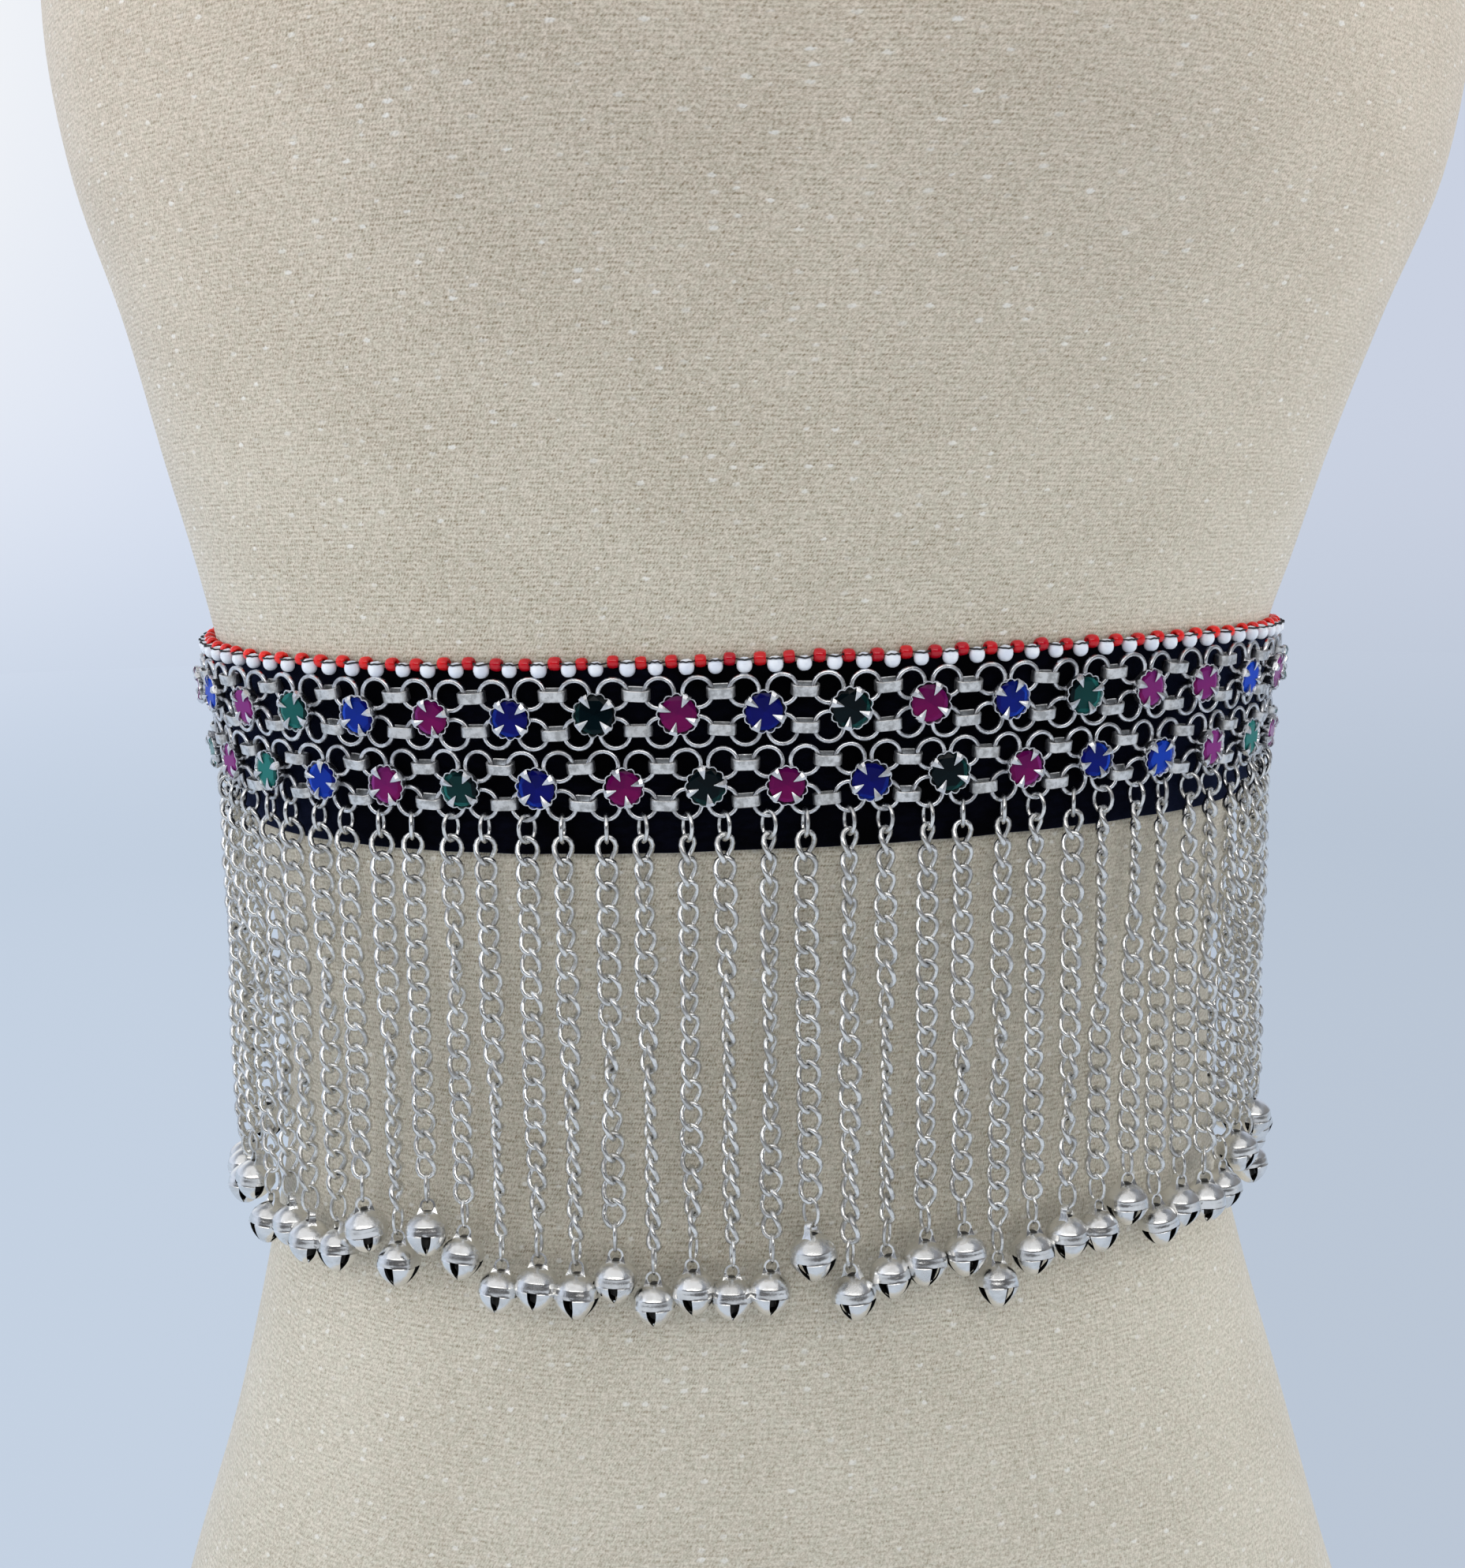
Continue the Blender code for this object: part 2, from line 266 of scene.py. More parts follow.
def formSection(height):
    # the section at a height, eased between the rows
    below = min(max(np.searchsorted(sectionRows[:, 0], height) - 1, 0), len(sectionRows) - 2)
    step = sectionRows[below + 1, 0] - sectionRows[below, 0]
    part = min(max((height - sectionRows[below, 0]) / step, 0.0), 1.0)
    rise = part * part * (3 - 2 * part)
    lead = part * (1 - part) ** 2 * step * sectionSlopes[below]
    trail = part * part * (1 - part) * step * sectionSlopes[below + 1]
    return sectionRows[below, 1:] * (1 - rise) + sectionRows[below + 1, 1:] * rise + lead - trail


def formPoint(turn, height):
    # turn 0 is the centre front and grows towards +X
    halfWidth, front, back, squareness, centre = formSection(height)
    across = math.sin(turn)
    toward = math.cos(turn)
    x = halfWidth * math.copysign(abs(across) ** (2 / squareness), across)
    depth = front if toward > 0 else back
    y = -depth * math.copysign(abs(toward) ** (2 / squareness), toward)
    if toward > 0:
        middle = torsoForm["bustFromMiddle"]
        outside = abs(x) > middle
        spread = torsoForm["bustSpreadOut"] if outside else torsoForm["bustSpreadIn"]
        sideways = (abs(x) - middle) / spread
        upward = (height - torsoForm["bustHeight"]) / torsoForm["bustSpreadUp"]
        y -= torsoForm["bustRise"] * toward * math.exp(-sideways ** 2 - upward ** 2)
    return Vector((centre + x, y, height))


def liftedPoint(turn, height, lift):
    step = torsoForm["slopeTurn"]
    along = formPoint(turn + step, height) - formPoint(turn - step, height)
    return formPoint(turn, height) + Vector((along.y, -along.x, 0)).normalized() * lift


halfTurn = torsoForm["halfTurnSteps"]
beltTurns = np.linspace(-math.pi, math.pi, 2 * halfTurn + 1)
beltHeight = velvetRibbon["top"] - velvetRibbon["height"] / 2
beltLine = np.array([liftedPoint(turn, beltHeight, ribbonFace) for turn in beltTurns])
beltLengths = np.concatenate(([0.0], np.cumsum(np.linalg.norm(np.diff(beltLine, axis=0), axis=1))))
beltLengths -= beltLengths[halfTurn]
girth = float(beltLengths[-1] - beltLengths[0])


def turnAt(along):
    wrapped = (along - beltLengths[0]) % girth + beltLengths[0]
    return float(np.interp(wrapped, beltLengths, beltTurns))


def topEdge(turn):
    waves = (cosine * math.cos(turns * turn) + sine * math.sin(turns * turn)
             for turns, cosine, sine in velvetRibbon["topWaves"])
    return velvetRibbon["top"] + sum(waves)


def onBelt(along, down, out):
    # along the belt, down from its top edge, out from the form
    turn = turnAt(along)
    return liftedPoint(turn, topEdge(turn) - down, out)


def beltFrame(along, down, out):
    # local x runs along the belt, -y faces out and z points up it
    xWay = (onBelt(along + mm, down, out) - onBelt(along - mm, down, out)).normalized()
    zWay = onBelt(along, down - mm, out) - onBelt(along, down + mm, out)
    yWay = zWay.cross(xWay).normalized()
    turn = Matrix((xWay, yWay, xWay.cross(yWay))).transposed().to_4x4()
    return Matrix.Translation(onBelt(along, down, out)) @ turn


def plumbFrame(along, down, out, root):
    # below its root a hanging thing keeps the root's place and drops straight down
    xWay = onBelt(along + mm, root, out) - onBelt(along - mm, root, out)
    point = onBelt(along, root, out)
    point.z -= down - root
    return Matrix.Translation(point) @ Matrix.Rotation(math.atan2(xWay.y, xWay.x), 4, "Z")


# Geometry Nodes: every repeated part is set out on points that carry "turn" and "size"

def geometryTree(name, inputs):
    tree = bpy.data.node_groups.new(name, "GeometryNodeTree")
    kinds = {"Points": "NodeSocketGeometry", "Material": "NodeSocketMaterial",
             "Pattern": "NodeSocketObject", "Seed": "NodeSocketInt",
             "Wobble": "NodeSocketVector", "Segments": "NodeSocketInt", "Sides": "NodeSocketInt"}
    for label in ("Points", *inputs, "Material"):
        kind = kinds.get(label, "NodeSocketFloat")
        tree.interface.new_socket(label, in_out="INPUT", socket_type=kind)
    tree.interface.new_socket("Pieces", in_out="OUTPUT", socket_type="NodeSocketGeometry")
    return tree, tree.nodes.new("NodeGroupInput").outputs


def setOut(tree, given, shape):
    # one shape on each point, turned, wobbled and sized, then made real
    turn, size = (addNode(tree, "GeometryNodeInputNamedAttribute", {"Name": name}, data_type=kind)
                  for name, kind in (("turn", "FLOAT_VECTOR"), ("size", "FLOAT")))
    facing = addNode(tree, "FunctionNodeEulerToRotation", {0: turn["Attribute"]})
    least = addNode(
        tree, "ShaderNodeVectorMath", {0: given["Wobble"], "Scale": -1.0}, operation="SCALE")
    chance = addNode(tree, "FunctionNodeRandomValue", {
        "Min": least[0], "Max": given["Wobble"], "Seed": given["Seed"]}, data_type="FLOAT_VECTOR")
    nudge = addNode(tree, "FunctionNodeEulerToRotation", {0: chance["Value"]})
    turned = addNode(
        tree, "FunctionNodeRotateRotation", {0: facing[0], 1: nudge[0]}, rotation_space="LOCAL")
    spread = addNode(tree, "GeometryNodeInstanceOnPoints", {
        "Points": given["Points"], "Instance": shape, "Rotation": turned[0],
        "Scale": size["Attribute"]})
    endTree(tree, given, spread[0])
    return tree


def endTree(tree, given, shape):
    real = addNode(tree, "GeometryNodeRealizeInstances", {0: shape})
    coat = addNode(tree, "GeometryNodeSetMaterial", {
        "Geometry": real[0], "Material": given["Material"]})
    feed(tree, tree.nodes.new("NodeGroupOutput").inputs, {0: coat[0]})
    spreadOut(tree)


def sizedPattern():
    # any modelled shape, such as a setting, a stone, a bell or a bead
    tree, given = geometryTree("set out a pattern", ("Pattern", "Wobble", "Seed"))
    info = addNode(tree, "GeometryNodeObjectInfo", {"Object": given["Pattern"]})
    return setOut(tree, given, info["Geometry"])


def circleCurve(tree, sides, radius):
    values = {"Resolution": sides, "Radius": radius}
    return addNode(tree, "GeometryNodeCurvePrimitiveCircle", values)[0]


def roundedRectangle(tree, width, height, radius, count=1):
    values = {"Width": width, "Height": height}
    flat = addNode(tree, "GeometryNodeCurvePrimitiveQuadrilateral", values, mode="RECTANGLE")
    values = {"Curve": flat[0], "Radius": radius, "Count": count}
    return addNode(tree, "GeometryNodeFilletCurve", values, mode="POLY")[0]


def sweptBand(tree, path, profile, creased=False):
    band = addNode(tree, "GeometryNodeCurveToMesh", {"Curve": path, "Profile Curve": profile})
    smooth = addNode(tree, "GeometryNodeSetShadeSmooth", {"Geometry": band[0]})
    if not creased:
        return smooth[0]
    angle = addNode(tree, "GeometryNodeInputMeshEdgeAngle", {})[0]
    sharp = calc(tree, "GREATER_THAN", angle, math.radians(34))
    return addNode(tree, "GeometryNodeSetShadeSmooth", {
        "Geometry": smooth[0], "Selection": sharp, "Shade Smooth": False}, domain="EDGE")[0]


def stood(tree, shape):
    # a curve drawn flat on XY is stood up to face -Y
    upright = Euler((math.pi / 2, 0.0, 0.0))
    return addNode(tree, "GeometryNodeTransform", {"Geometry": shape, "Rotation": upright})[0]


def ringTree():
    tree, given = geometryTree("openwork ring", (
        "Diameter", "Wire", "Depth", "Corner", "Segments", "Wobble", "Seed"))
    radius = calc(tree, "MULTIPLY", calc(tree, "SUBTRACT", given["Diameter"], given["Wire"]), 0.5)
    circle = circleCurve(tree, given["Segments"], radius)
    profile = roundedRectangle(tree, given["Wire"], given["Depth"], given["Corner"])
    return setOut(tree, given, stood(tree, sweptBand(tree, circle, profile)))


def bandLinkTree():
    tree, given = geometryTree("joining band link", (
        "Length", "Reach", "Strip", "Height", "Round", "Corner", "Segments", "Wobble", "Seed"))
    spans = (calc(tree, "SUBTRACT", given[label], given["Strip"]) for label in ("Length", "Reach"))
    loop = roundedRectangle(tree, *spans, given["Round"], given["Segments"])
    profile = roundedRectangle(tree, given["Strip"], given["Height"], given["Corner"])
    return setOut(tree, given, sweptBand(tree, loop, profile, creased=True))


def chainLinkTree():
    # an oval of round wire whose ends are twisted apart, upright in XZ
    tree, given = geometryTree("twisted chain link", (
        "Length", "Width", "Wire", "Twist", "Segments", "Sides", "Wobble", "Seed"))
    circle = circleCurve(tree, given["Segments"], 1.0)
    x, y, _ = split(tree, addNode(tree, "GeometryNodeInputPosition", {})[0])
    halfWidth, halfLength = (
        calc(tree, "MULTIPLY", calc(tree, "SUBTRACT", given[label], given["Wire"]), 0.5)
        for label in ("Width", "Length"))
    across = calc(tree, "MULTIPLY", x, halfWidth)
    twist = calc(tree, "MULTIPLY", calc(tree, "MULTIPLY", given["Twist"], 0.5), y)
    spot = join(
        tree, calc(tree, "MULTIPLY", across, calc(tree, "COSINE", twist)),
        calc(tree, "MULTIPLY", across, calc(tree, "SINE", twist)),
        calc(tree, "MULTIPLY", y, halfLength))
    bent = addNode(tree, "GeometryNodeSetPosition", {"Geometry": circle, "Position": spot})
    wire = circleCurve(tree, given["Sides"], calc(tree, "MULTIPLY", given["Wire"], 0.5))
    return setOut(tree, given, sweptBand(tree, bent[0], wire))


def threadTree():
    tree, given = geometryTree("thread along a line", ("Thickness", "Sides"))
    line = addNode(tree, "GeometryNodeMeshToCurve", {"Mesh": given["Points"]})[0]
    wire = circleCurve(tree, given["Sides"], calc(tree, "MULTIPLY", given["Thickness"], 0.5))
    endTree(tree, given, sweptBand(tree, line, wire))
    return tree


def pointHost(name, spots, edges=()):
    # spots are (frame, size)
    mesh = bpy.data.meshes.new(name)
    mesh.from_pydata([spot.translation for spot, size in spots], edges, [])
    mesh.attributes.new("turn", "FLOAT_VECTOR", "POINT")
    mesh.attributes.new("size", "FLOAT", "POINT")
    turns = np.array([spot.to_euler() for spot, size in spots])
    mesh.attributes["turn"].data.foreach_set("vector", turns.ravel())
    mesh.attributes["size"].data.foreach_set("value", [size for spot, size in spots])
    return newObject(name, mesh)


def grow(name, tree, host, material, **values):
    # the tree's inputs are set by identifier, and the result becomes a plain mesh
    values = {"Material": material, **values}
    modifier = host.modifiers.new(name, "NODES")
    modifier.node_group = tree
    for item in tree.interface.items_tree:
        label = item.name.replace(" ", "")
        if item.in_out == "INPUT" and label in values:
            modifier[item.identifier] = values[label]
    host.update_tag()
    graph = bpy.context.evaluated_depsgraph_get()
    graph.update()
    mesh = bpy.data.meshes.new_from_object(host.evaluated_get(graph))
    for label in ("turn", "size"):
        if label in mesh.attributes:
            mesh.attributes.remove(mesh.attributes[label])
    host.modifiers.clear()
    bpy.data.objects.remove(host)
    mesh.name = name
    piece = newObject(name, mesh)
    print(name, len(mesh.vertices), "points", len(mesh.polygons), "faces")
    return piece


def settle(piece, nodes=()):
    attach(piece, "root")
    if nodes:
        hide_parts(*nodes)


# shared surface effects

def makeTarnish():
    # cloudy shade, fine rubbed grain and tiny dents for plated metal
    tree, given, result = shaderGroup("tarnish and rub", {
        "Metal": ("NodeSocketColor", (0.80, 0.79, 0.77, 1.0)),
        "Dull": ("NodeSocketColor", (0.42, 0.40, 0.37, 1.0)),
        "Amount": ("NodeSocketFloat", 0.4),
        "Cloud Scale": ("NodeSocketFloat", 220.0),
        "Grain Scale": ("NodeSocketFloat", 2200.0),
        "Smoothest": ("NodeSocketFloat", 0.24),
        "Roughest": ("NodeSocketFloat", 0.42),
    }, {"Colour": "NodeSocketColor", "Roughness": "NodeSocketFloat", "Height": "NodeSocketFloat"})
    place = coordinates(tree)["Object"]
    cloud = remap(tree, noise(tree, place, given["Cloud Scale"], 3.0, 0.6), 0.38, 0.68)
    grain = noise(tree, stretched(tree, place, (1.0, 1.0, 0.35)), given["Grain Scale"], 2.0, 0.7)
    mask = calc(tree, "MULTIPLY", cloud, given["Amount"])
    grainShare = 0.35
    rough = calc(tree, "ADD", calc(tree, "MULTIPLY", cloud, 1 - grainShare),
                 calc(tree, "MULTIPLY", grain, grainShare))
    span = calc(tree, "SUBTRACT", given["Roughest"], given["Smoothest"])
    feed(tree, result, {
        "Colour": blend(tree, mask, given["Metal"], given["Dull"]),
        "Roughness": calc(tree, "MULTIPLY_ADD", rough, span, given["Smoothest"]),
        "Height": grain})
    spreadOut(tree)
    return tree


def makeSlubs():
    # uneven thickness of yarn or pile, drawn out along the first direction
    tree, given, result = shaderGroup("uneven yarn", {
        "Place": ("NodeSocketVector", (0.0, 0.0, 0.0)),
        "Along": ("NodeSocketFloat", 60.0),
        "Across": ("NodeSocketFloat", 1000.0),
        "Softness": ("NodeSocketFloat", 0.16),
    }, {"Mask": "NodeSocketFloat"})
    x, y, _ = split(tree, given["Place"])
    along = calc(tree, "MULTIPLY", x, given["Along"])
    across = calc(tree, "MULTIPLY", y, given["Across"])
    value = noise(tree, join(tree, along, across), 1.0, 1.0, 0.5, "2D")
    low = calc(tree, "SUBTRACT", 0.5, given["Softness"])
    high = calc(tree, "ADD", 0.5, given["Softness"])
    feed(tree, result, {"Mask": remap(tree, value, low, high)})
    spreadOut(tree)
    return tree


def makeGemShade():
    # foil-backed glass: each facet has its own depth of colour, a painted light set per facet
    tree, given, result = shaderGroup("foil glass with painted facet light", {
        "Bright": ("NodeSocketColor", (0.02, 0.05, 0.5, 1.0)),
        "Deep": ("NodeSocketColor", (0.003, 0.006, 0.09, 1.0)),
        "Contrast": ("NodeSocketFloat", 0.8),
    }, {"Colour": "NodeSocketColor", "Roughness": "NodeSocketFloat"})
    flash = addNode(tree, "ShaderNodeAttribute", {}, attribute_name="flash")["Fac"]
    place = coordinates(tree)["Object"]
    haze = noise(tree, place, 380.0, 2.0, 0.5)
    mixed = calc(tree, "MULTIPLY_ADD", calc(tree, "SUBTRACT", haze, 0.5), 0.5, flash)
    depth = calc(tree, "MULTIPLY", mixed, given["Contrast"], clamp=True)
    feed(tree, result, {
        "Colour": blend(tree, depth, given["Deep"], given["Bright"]),
        "Roughness": calc(tree, "MULTIPLY_ADD", haze, 0.14, 0.03)})
    spreadOut(tree)
    return tree


tarnish = makeTarnish()
slubs = makeSlubs()
gemShade = makeGemShade()


platings = {
    # metal, dull, amount of tarnish, smoothest, roughest, cloud scale, depth of the dents
    "ring metal": ((0.84, 0.85, 0.87), (0.30, 0.30, 0.31), 0.70, 0.20, 0.38, 460.0, 0.00004),
    "band link metal": ((0.86, 0.86, 0.85), (0.36, 0.36, 0.35), 0.70, 0.30, 0.52, 620.0, 0.00008),
    "cup metal": ((0.82, 0.83, 0.85), (0.46, 0.46, 0.47), 0.50, 0.22, 0.42, 500.0, 0.00002),
    "chain metal": ((0.92, 0.92, 0.90), (0.33, 0.32, 0.31), 0.60, 0.18, 0.36, 420.0, 0.00004),
    "bell metal": ((0.89, 0.89, 0.88), (0.56, 0.55, 0.53), 0.45, 0.16, 0.30, 260.0, 0.00004),
}


def platedMetal(name):
    metal, dull, amount, smooth, rough, cloudScale, dent = platings[name]
    material, tree, surface = newMaterial(name, metal)
    worn = placeGroup(tree, tarnish, {
        "Metal": metal, "Dull": dull, "Amount": amount, "Cloud Scale": cloudScale,
        "Smoothest": smooth, "Roughest": rough})
    feed(tree, surface, {
        "Base Color": worn["Colour"], "Roughness": worn["Roughness"], "Metallic": 1.0})
    addBump(tree, surface, worn["Height"], dent)
    spreadOut(tree)
    return material


def foilGlass(name, bright, deep, pale):
    # painted light: the stone shows its pale colour where it is seen aslant, standing in for
    # reflection and side light
    material, tree, surface = newMaterial(name, bright)
    shade = placeGroup(tree, gemShade, {"Bright": bright, "Deep": deep})
    rim = addNode(tree, "ShaderNodeLayerWeight", {"Blend": 0.5})
    aslant = remap(tree, rim["Facing"], 0.07, 0.50)
    feed(tree, surface, {
        "Base Color": blend(tree, aslant, shade["Colour"], pale),
        "Roughness": shade["Roughness"], "Specular IOR Level": 0.10})
    spreadOut(tree)
    return material


def clothFinish(tree, surface, size):
    feed(tree, surface, {
        "Specular IOR Level": size["specular"], "Sheen Weight": size["sheenWeight"],
        "Sheen Roughness": size["sheenRoughness"], "Sheen Tint": size["sheen"]})
    spreadOut(tree)


# jersey cover of the form

jerseyCover = {
    "wale": 0.00062,
    "course": 0.00096,
    "slant": -0.75,                                             # wales, over one course
    "wander": 1.6,                                              # wales, along a row
    "bend": 0.55,                                               # courses, up and down
    "wanderScale": 90.0,
    "bendScale": 420.0,
    "gapAside": (0.38, 0.06),                                   # of a stitch, from its middle
    "gapAbove": (0.50, 0.22),
    "valleyAbove": (0.36, 0.06),
    "gapShade": (0.04, 0.52),                                   # least, and how far it varies
    "tightRows": {"Along": 330.0, "Across": 937.5},             # 0.9 of a course across
    "tightShade": (0.60, 0.30),                                 # least, and what tightness adds
    "rowShade": (0.09, 0.22),
    "patches": {"Along": 34.0, "Across": 40.0, "Softness": 0.28},
    "patchShade": 0.09,
    "smears": {"Along": 420.0, "Across": 1450.0, "Softness": 0.24},
    "smearShade": 0.20,
    "grainScale": 1500.0,
    "grainMiddle": 0.44,
    "grainShade": 1.45,
    "light": (0.688, 0.645, 0.550),
    "dark": (0.262, 0.216, 0.142),
    "cool": (0.955, 0.975, 0.965),
    # painted shade: tint laid on toward the top of the form
    "warm": (1.0, 0.945, 0.925),
    "coolScale": 420.0,
    "coolPatches": (0.42, 0.60),
    "warmRise": (0.36, 0.52),
    "stretchRise": (0.205, 0.265),
    # painted light: toward the right side the knit gaps fade, so the cover reads lighter there
    "calmSide": (0.01, 0.13),
    "calm": {"low": 0.50, "side": 0.60, "high": 0.72},          # shade that is left of the gaps: low below the hips, side toward the right as painted light, high toward the top under painted shade
    "fleck": (0.830, 0.830, 0.800),
    "fleckCell": 0.0026,
    "fleckHeight": 0.62,                                        # of its width
    "fleckFray": 0.0007,
    "fleckReach": (0.02, 0.24),
    "fleckEdge": (0.0, 0.12),
    "fleckCover": 0.65,
    "relief": 0.00006,
    "sheen": (0.92, 0.92, 0.95),
    "sheenWeight": 0.35,
    "sheenRoughness": 0.45,
    "specular": 0.25,
    "waist": 0.33,
    "tightening": 0.9,                                          # closer rows, for each metre up
    "tightensFrom": 0.2,
    "measuredColumns": 7,                                       # every seventh is enough
}


def knitGaps(tree, place, along, up):
    # a knit row is a line of small slanting gaps, each row shifted a little from the last
    size = jerseyCover
    wander = noise(tree, place, size["wanderScale"], 0.0, space="2D")
    bend = noise(tree, place, size["bendScale"], 1.0, 0.6, "2D")
    bend = calc(tree, "MULTIPLY", bend, size["bend"])
    level = calc(tree, "ADD", calc(tree, "DIVIDE", up, size["course"]), bend)
    rowNumber = calc(tree, "FLOOR", level)
    rowShift = addNode(tree, "ShaderNodeTexWhiteNoise", {"W": rowNumber}, noise_dimensions="1D")
    slant = calc(tree, "MULTIPLY_ADD", level, size["slant"], rowShift["Value"])
    wale = calc(tree, "DIVIDE", along, size["wale"])
    stitch = calc(tree, "ADD", calc(tree, "MULTIPLY_ADD", wander, size["wander"], wale), slant)
    aside = calc(tree, "ABSOLUTE", calc(tree, "SUBTRACT", calc(tree, "FRACT", stitch), 0.5))
    above = calc(tree, "ABSOLUTE", calc(tree, "SUBTRACT", calc(tree, "FRACT", level), 0.5))
    gap = calc(tree, "MULTIPLY", remap(tree, aside, *size["gapAside"]),
               remap(tree, above, *size["gapAbove"]))
    valley = remap(tree, above, *size["valleyAbove"])
    cell = join(tree, calc(tree, "FLOOR", stitch), rowNumber)
    uneven = addNode(tree, "ShaderNodeTexWhiteNoise", {"Vector": cell}, noise_dimensions="2D")
    return gap, valley, uneven["Value"]


def knitShade(tree, place, spot, gap, valley, uneven):
    # some rows are drawn tighter for a few millimetres, so their shadow comes and goes
    size = jerseyCover
    tight = placeGroup(tree, slubs, {"Place": place, **size["tightRows"]})["Mask"]
    least, vary = size["gapShade"]
    depth = calc(tree, "MULTIPLY_ADD", uneven, vary, least)
    least, more = size["tightShade"]
    depth = calc(tree, "MULTIPLY", depth, calc(tree, "MULTIPLY_ADD", tight, more, least))
    rowShade = calc(tree, "MULTIPLY", valley, remap(tree, tight, 0.60, 1.0, *size["rowShade"]))
    dark = calc(tree, "ADD", calc(tree, "MULTIPLY", gap, depth), rowShade)

    # the gaps show at half strength below the hips; toward the right side they fade as painted
    # light, and toward the top they fade where painted shade tints the knit
    calm = size["calm"]
    for slot, span, start, end in (
        (2, "stretchRise", calm["low"], 1.0),
        (0, "calmSide", 1.0, calm["side"]),
        (2, "warmRise", 1.0, calm["high"]),
    ):
        opened = remap(tree, spot[slot], *size[span], start, end)
        dark = calc(tree, "MULTIPLY", dark, opened)
    for pattern, share in (("patches", "patchShade"), ("smears", "smearShade")):
        mask = placeGroup(tree, slubs, {"Place": place, **size[pattern]})["Mask"]
        dark = calc(tree, "MULTIPLY_ADD", mask, size[share], dark)
    return dark


def fibreNubs(tree, place, along, up):
    # white nubs of fibre caught in the yarn, most of them wider than high
    size = jerseyCover
    frayed = noise(tree, place, size["grainScale"], 1.0, space="2D")
    frayed = calc(tree, "MULTIPLY", frayed, size["fleckFray"])
    wide = calc(tree, "MULTIPLY", calc(tree, "ADD", along, frayed), size["fleckHeight"])
    warped = join(tree, wide, calc(tree, "ADD", up, frayed))
    values = {"Vector": warped, "Scale": 1 / size["fleckCell"]}
    settings = {"voronoi_dimensions": "2D", "feature": "F1"}
    cells = addNode(tree, "ShaderNodeTexVoronoi", values, **settings)
    pick = addNode(tree, "ShaderNodeSeparateColor", {0: cells["Color"]})
    reach = remap(tree, pick[0], 0.30, 1.0, *size["fleckReach"])
    nub = calc(tree, "SUBTRACT", reach, cells["Distance"])
    mask = calc(tree, "MULTIPLY", remap(tree, nub, *size["fleckEdge"]), pick[1])
    return calc(tree, "MULTIPLY", mask, size["fleckCover"])


def jerseyMaterial():
    size = jerseyCover
    material, tree, surface = newMaterial("jersey", size["light"])
    place = addNode(tree, "ShaderNodeUVMap", {}, uv_map="weave")["UV"]
    along, up, _ = split(tree, place)
    spot = split(tree, coordinates(tree)["Object"])
    gap, valley, uneven = knitGaps(tree, place, along, up)
    dark = knitShade(tree, place, spot, gap, valley, uneven)
    grain = noise(tree, place, size["grainScale"], 2.0, 0.75, "2D")
    offMiddle = calc(tree, "SUBTRACT", grain, size["grainMiddle"])
    dark = calc(tree, "MULTIPLY_ADD", offMiddle, size["grainShade"], dark, clamp=True)
    knit = blend(tree, dark, size["light"], size["dark"])
    tint = noise(tree, place, size["coolScale"], 2.0, 0.65, "2D")
    tint = remap(tree, tint, *size["coolPatches"])
    knit = blend(tree, tint, knit, size["cool"], mode="MULTIPLY")
    # painted shade: toward the top of the form the knit is tinted darker and warmer
    topShading = remap(tree, spot[2], *size["warmRise"])
    knit = blend(tree, topShading, knit, size["warm"], mode="MULTIPLY")
    nubs = fibreNubs(tree, place, along, up)

    height = calc(tree, "SUBTRACT", 1.0, calc(tree, "MULTIPLY_ADD", valley, 0.35, gap))
    height = calc(tree, "MULTIPLY_ADD", grain, 0.5, height)
    addBump(tree, surface, height, size["relief"], 0.8)
    feed(tree, surface, {
        "Base Color": blend(tree, nubs, knit, size["fleck"]),
        "Roughness": calc(tree, "MULTIPLY_ADD", grain, 0.16, 0.76)})
    clothFinish(tree, surface, size)
    return material


def layWeave(bm, rows, lines):
    # the knit runs by length up the side, its rows drawn closer where the form widens
    size = jerseyCover
    climb = [0.0]
    for low, high in zip(rows, rows[1:]):
        pairs = list(zip(low, high))[::size["measuredColumns"]]
        step = sum((above - below).length for below, above in pairs) / len(pairs)
        rise = max(high[0].z, size["tightensFrom"]) - size["waist"]
        climb.append(climb[-1] + step / (1 - size["tightening"] * rise))
    weave = bm.loops.layers.uv.new("weave")
    level = {vert: climb[i] for i, line in enumerate(lines) for vert in line}
    column = {vert: i / len(line) for line in lines for i, vert in enumerate(line)}
    pastEnd = 0.01
    for face in bm.faces:
        spots = [column.get(loop.vert) for loop in face.loops]
        known = [spot for spot in spots if spot is not None]
        wraps = max(known) - min(known) > 0.5
        for loop, spot in zip(face.loops, spots):
            spot = sum(known) / len(known) if spot is None else spot
            around = spot + 1 if wraps and spot < 0.5 else spot
            end = climb[-1] + pastEnd if loop.vert.co.z > pastEnd else -pastEnd
            loop[weave].uv = ((around - 0.5) * girth, level.get(loop.vert, end))


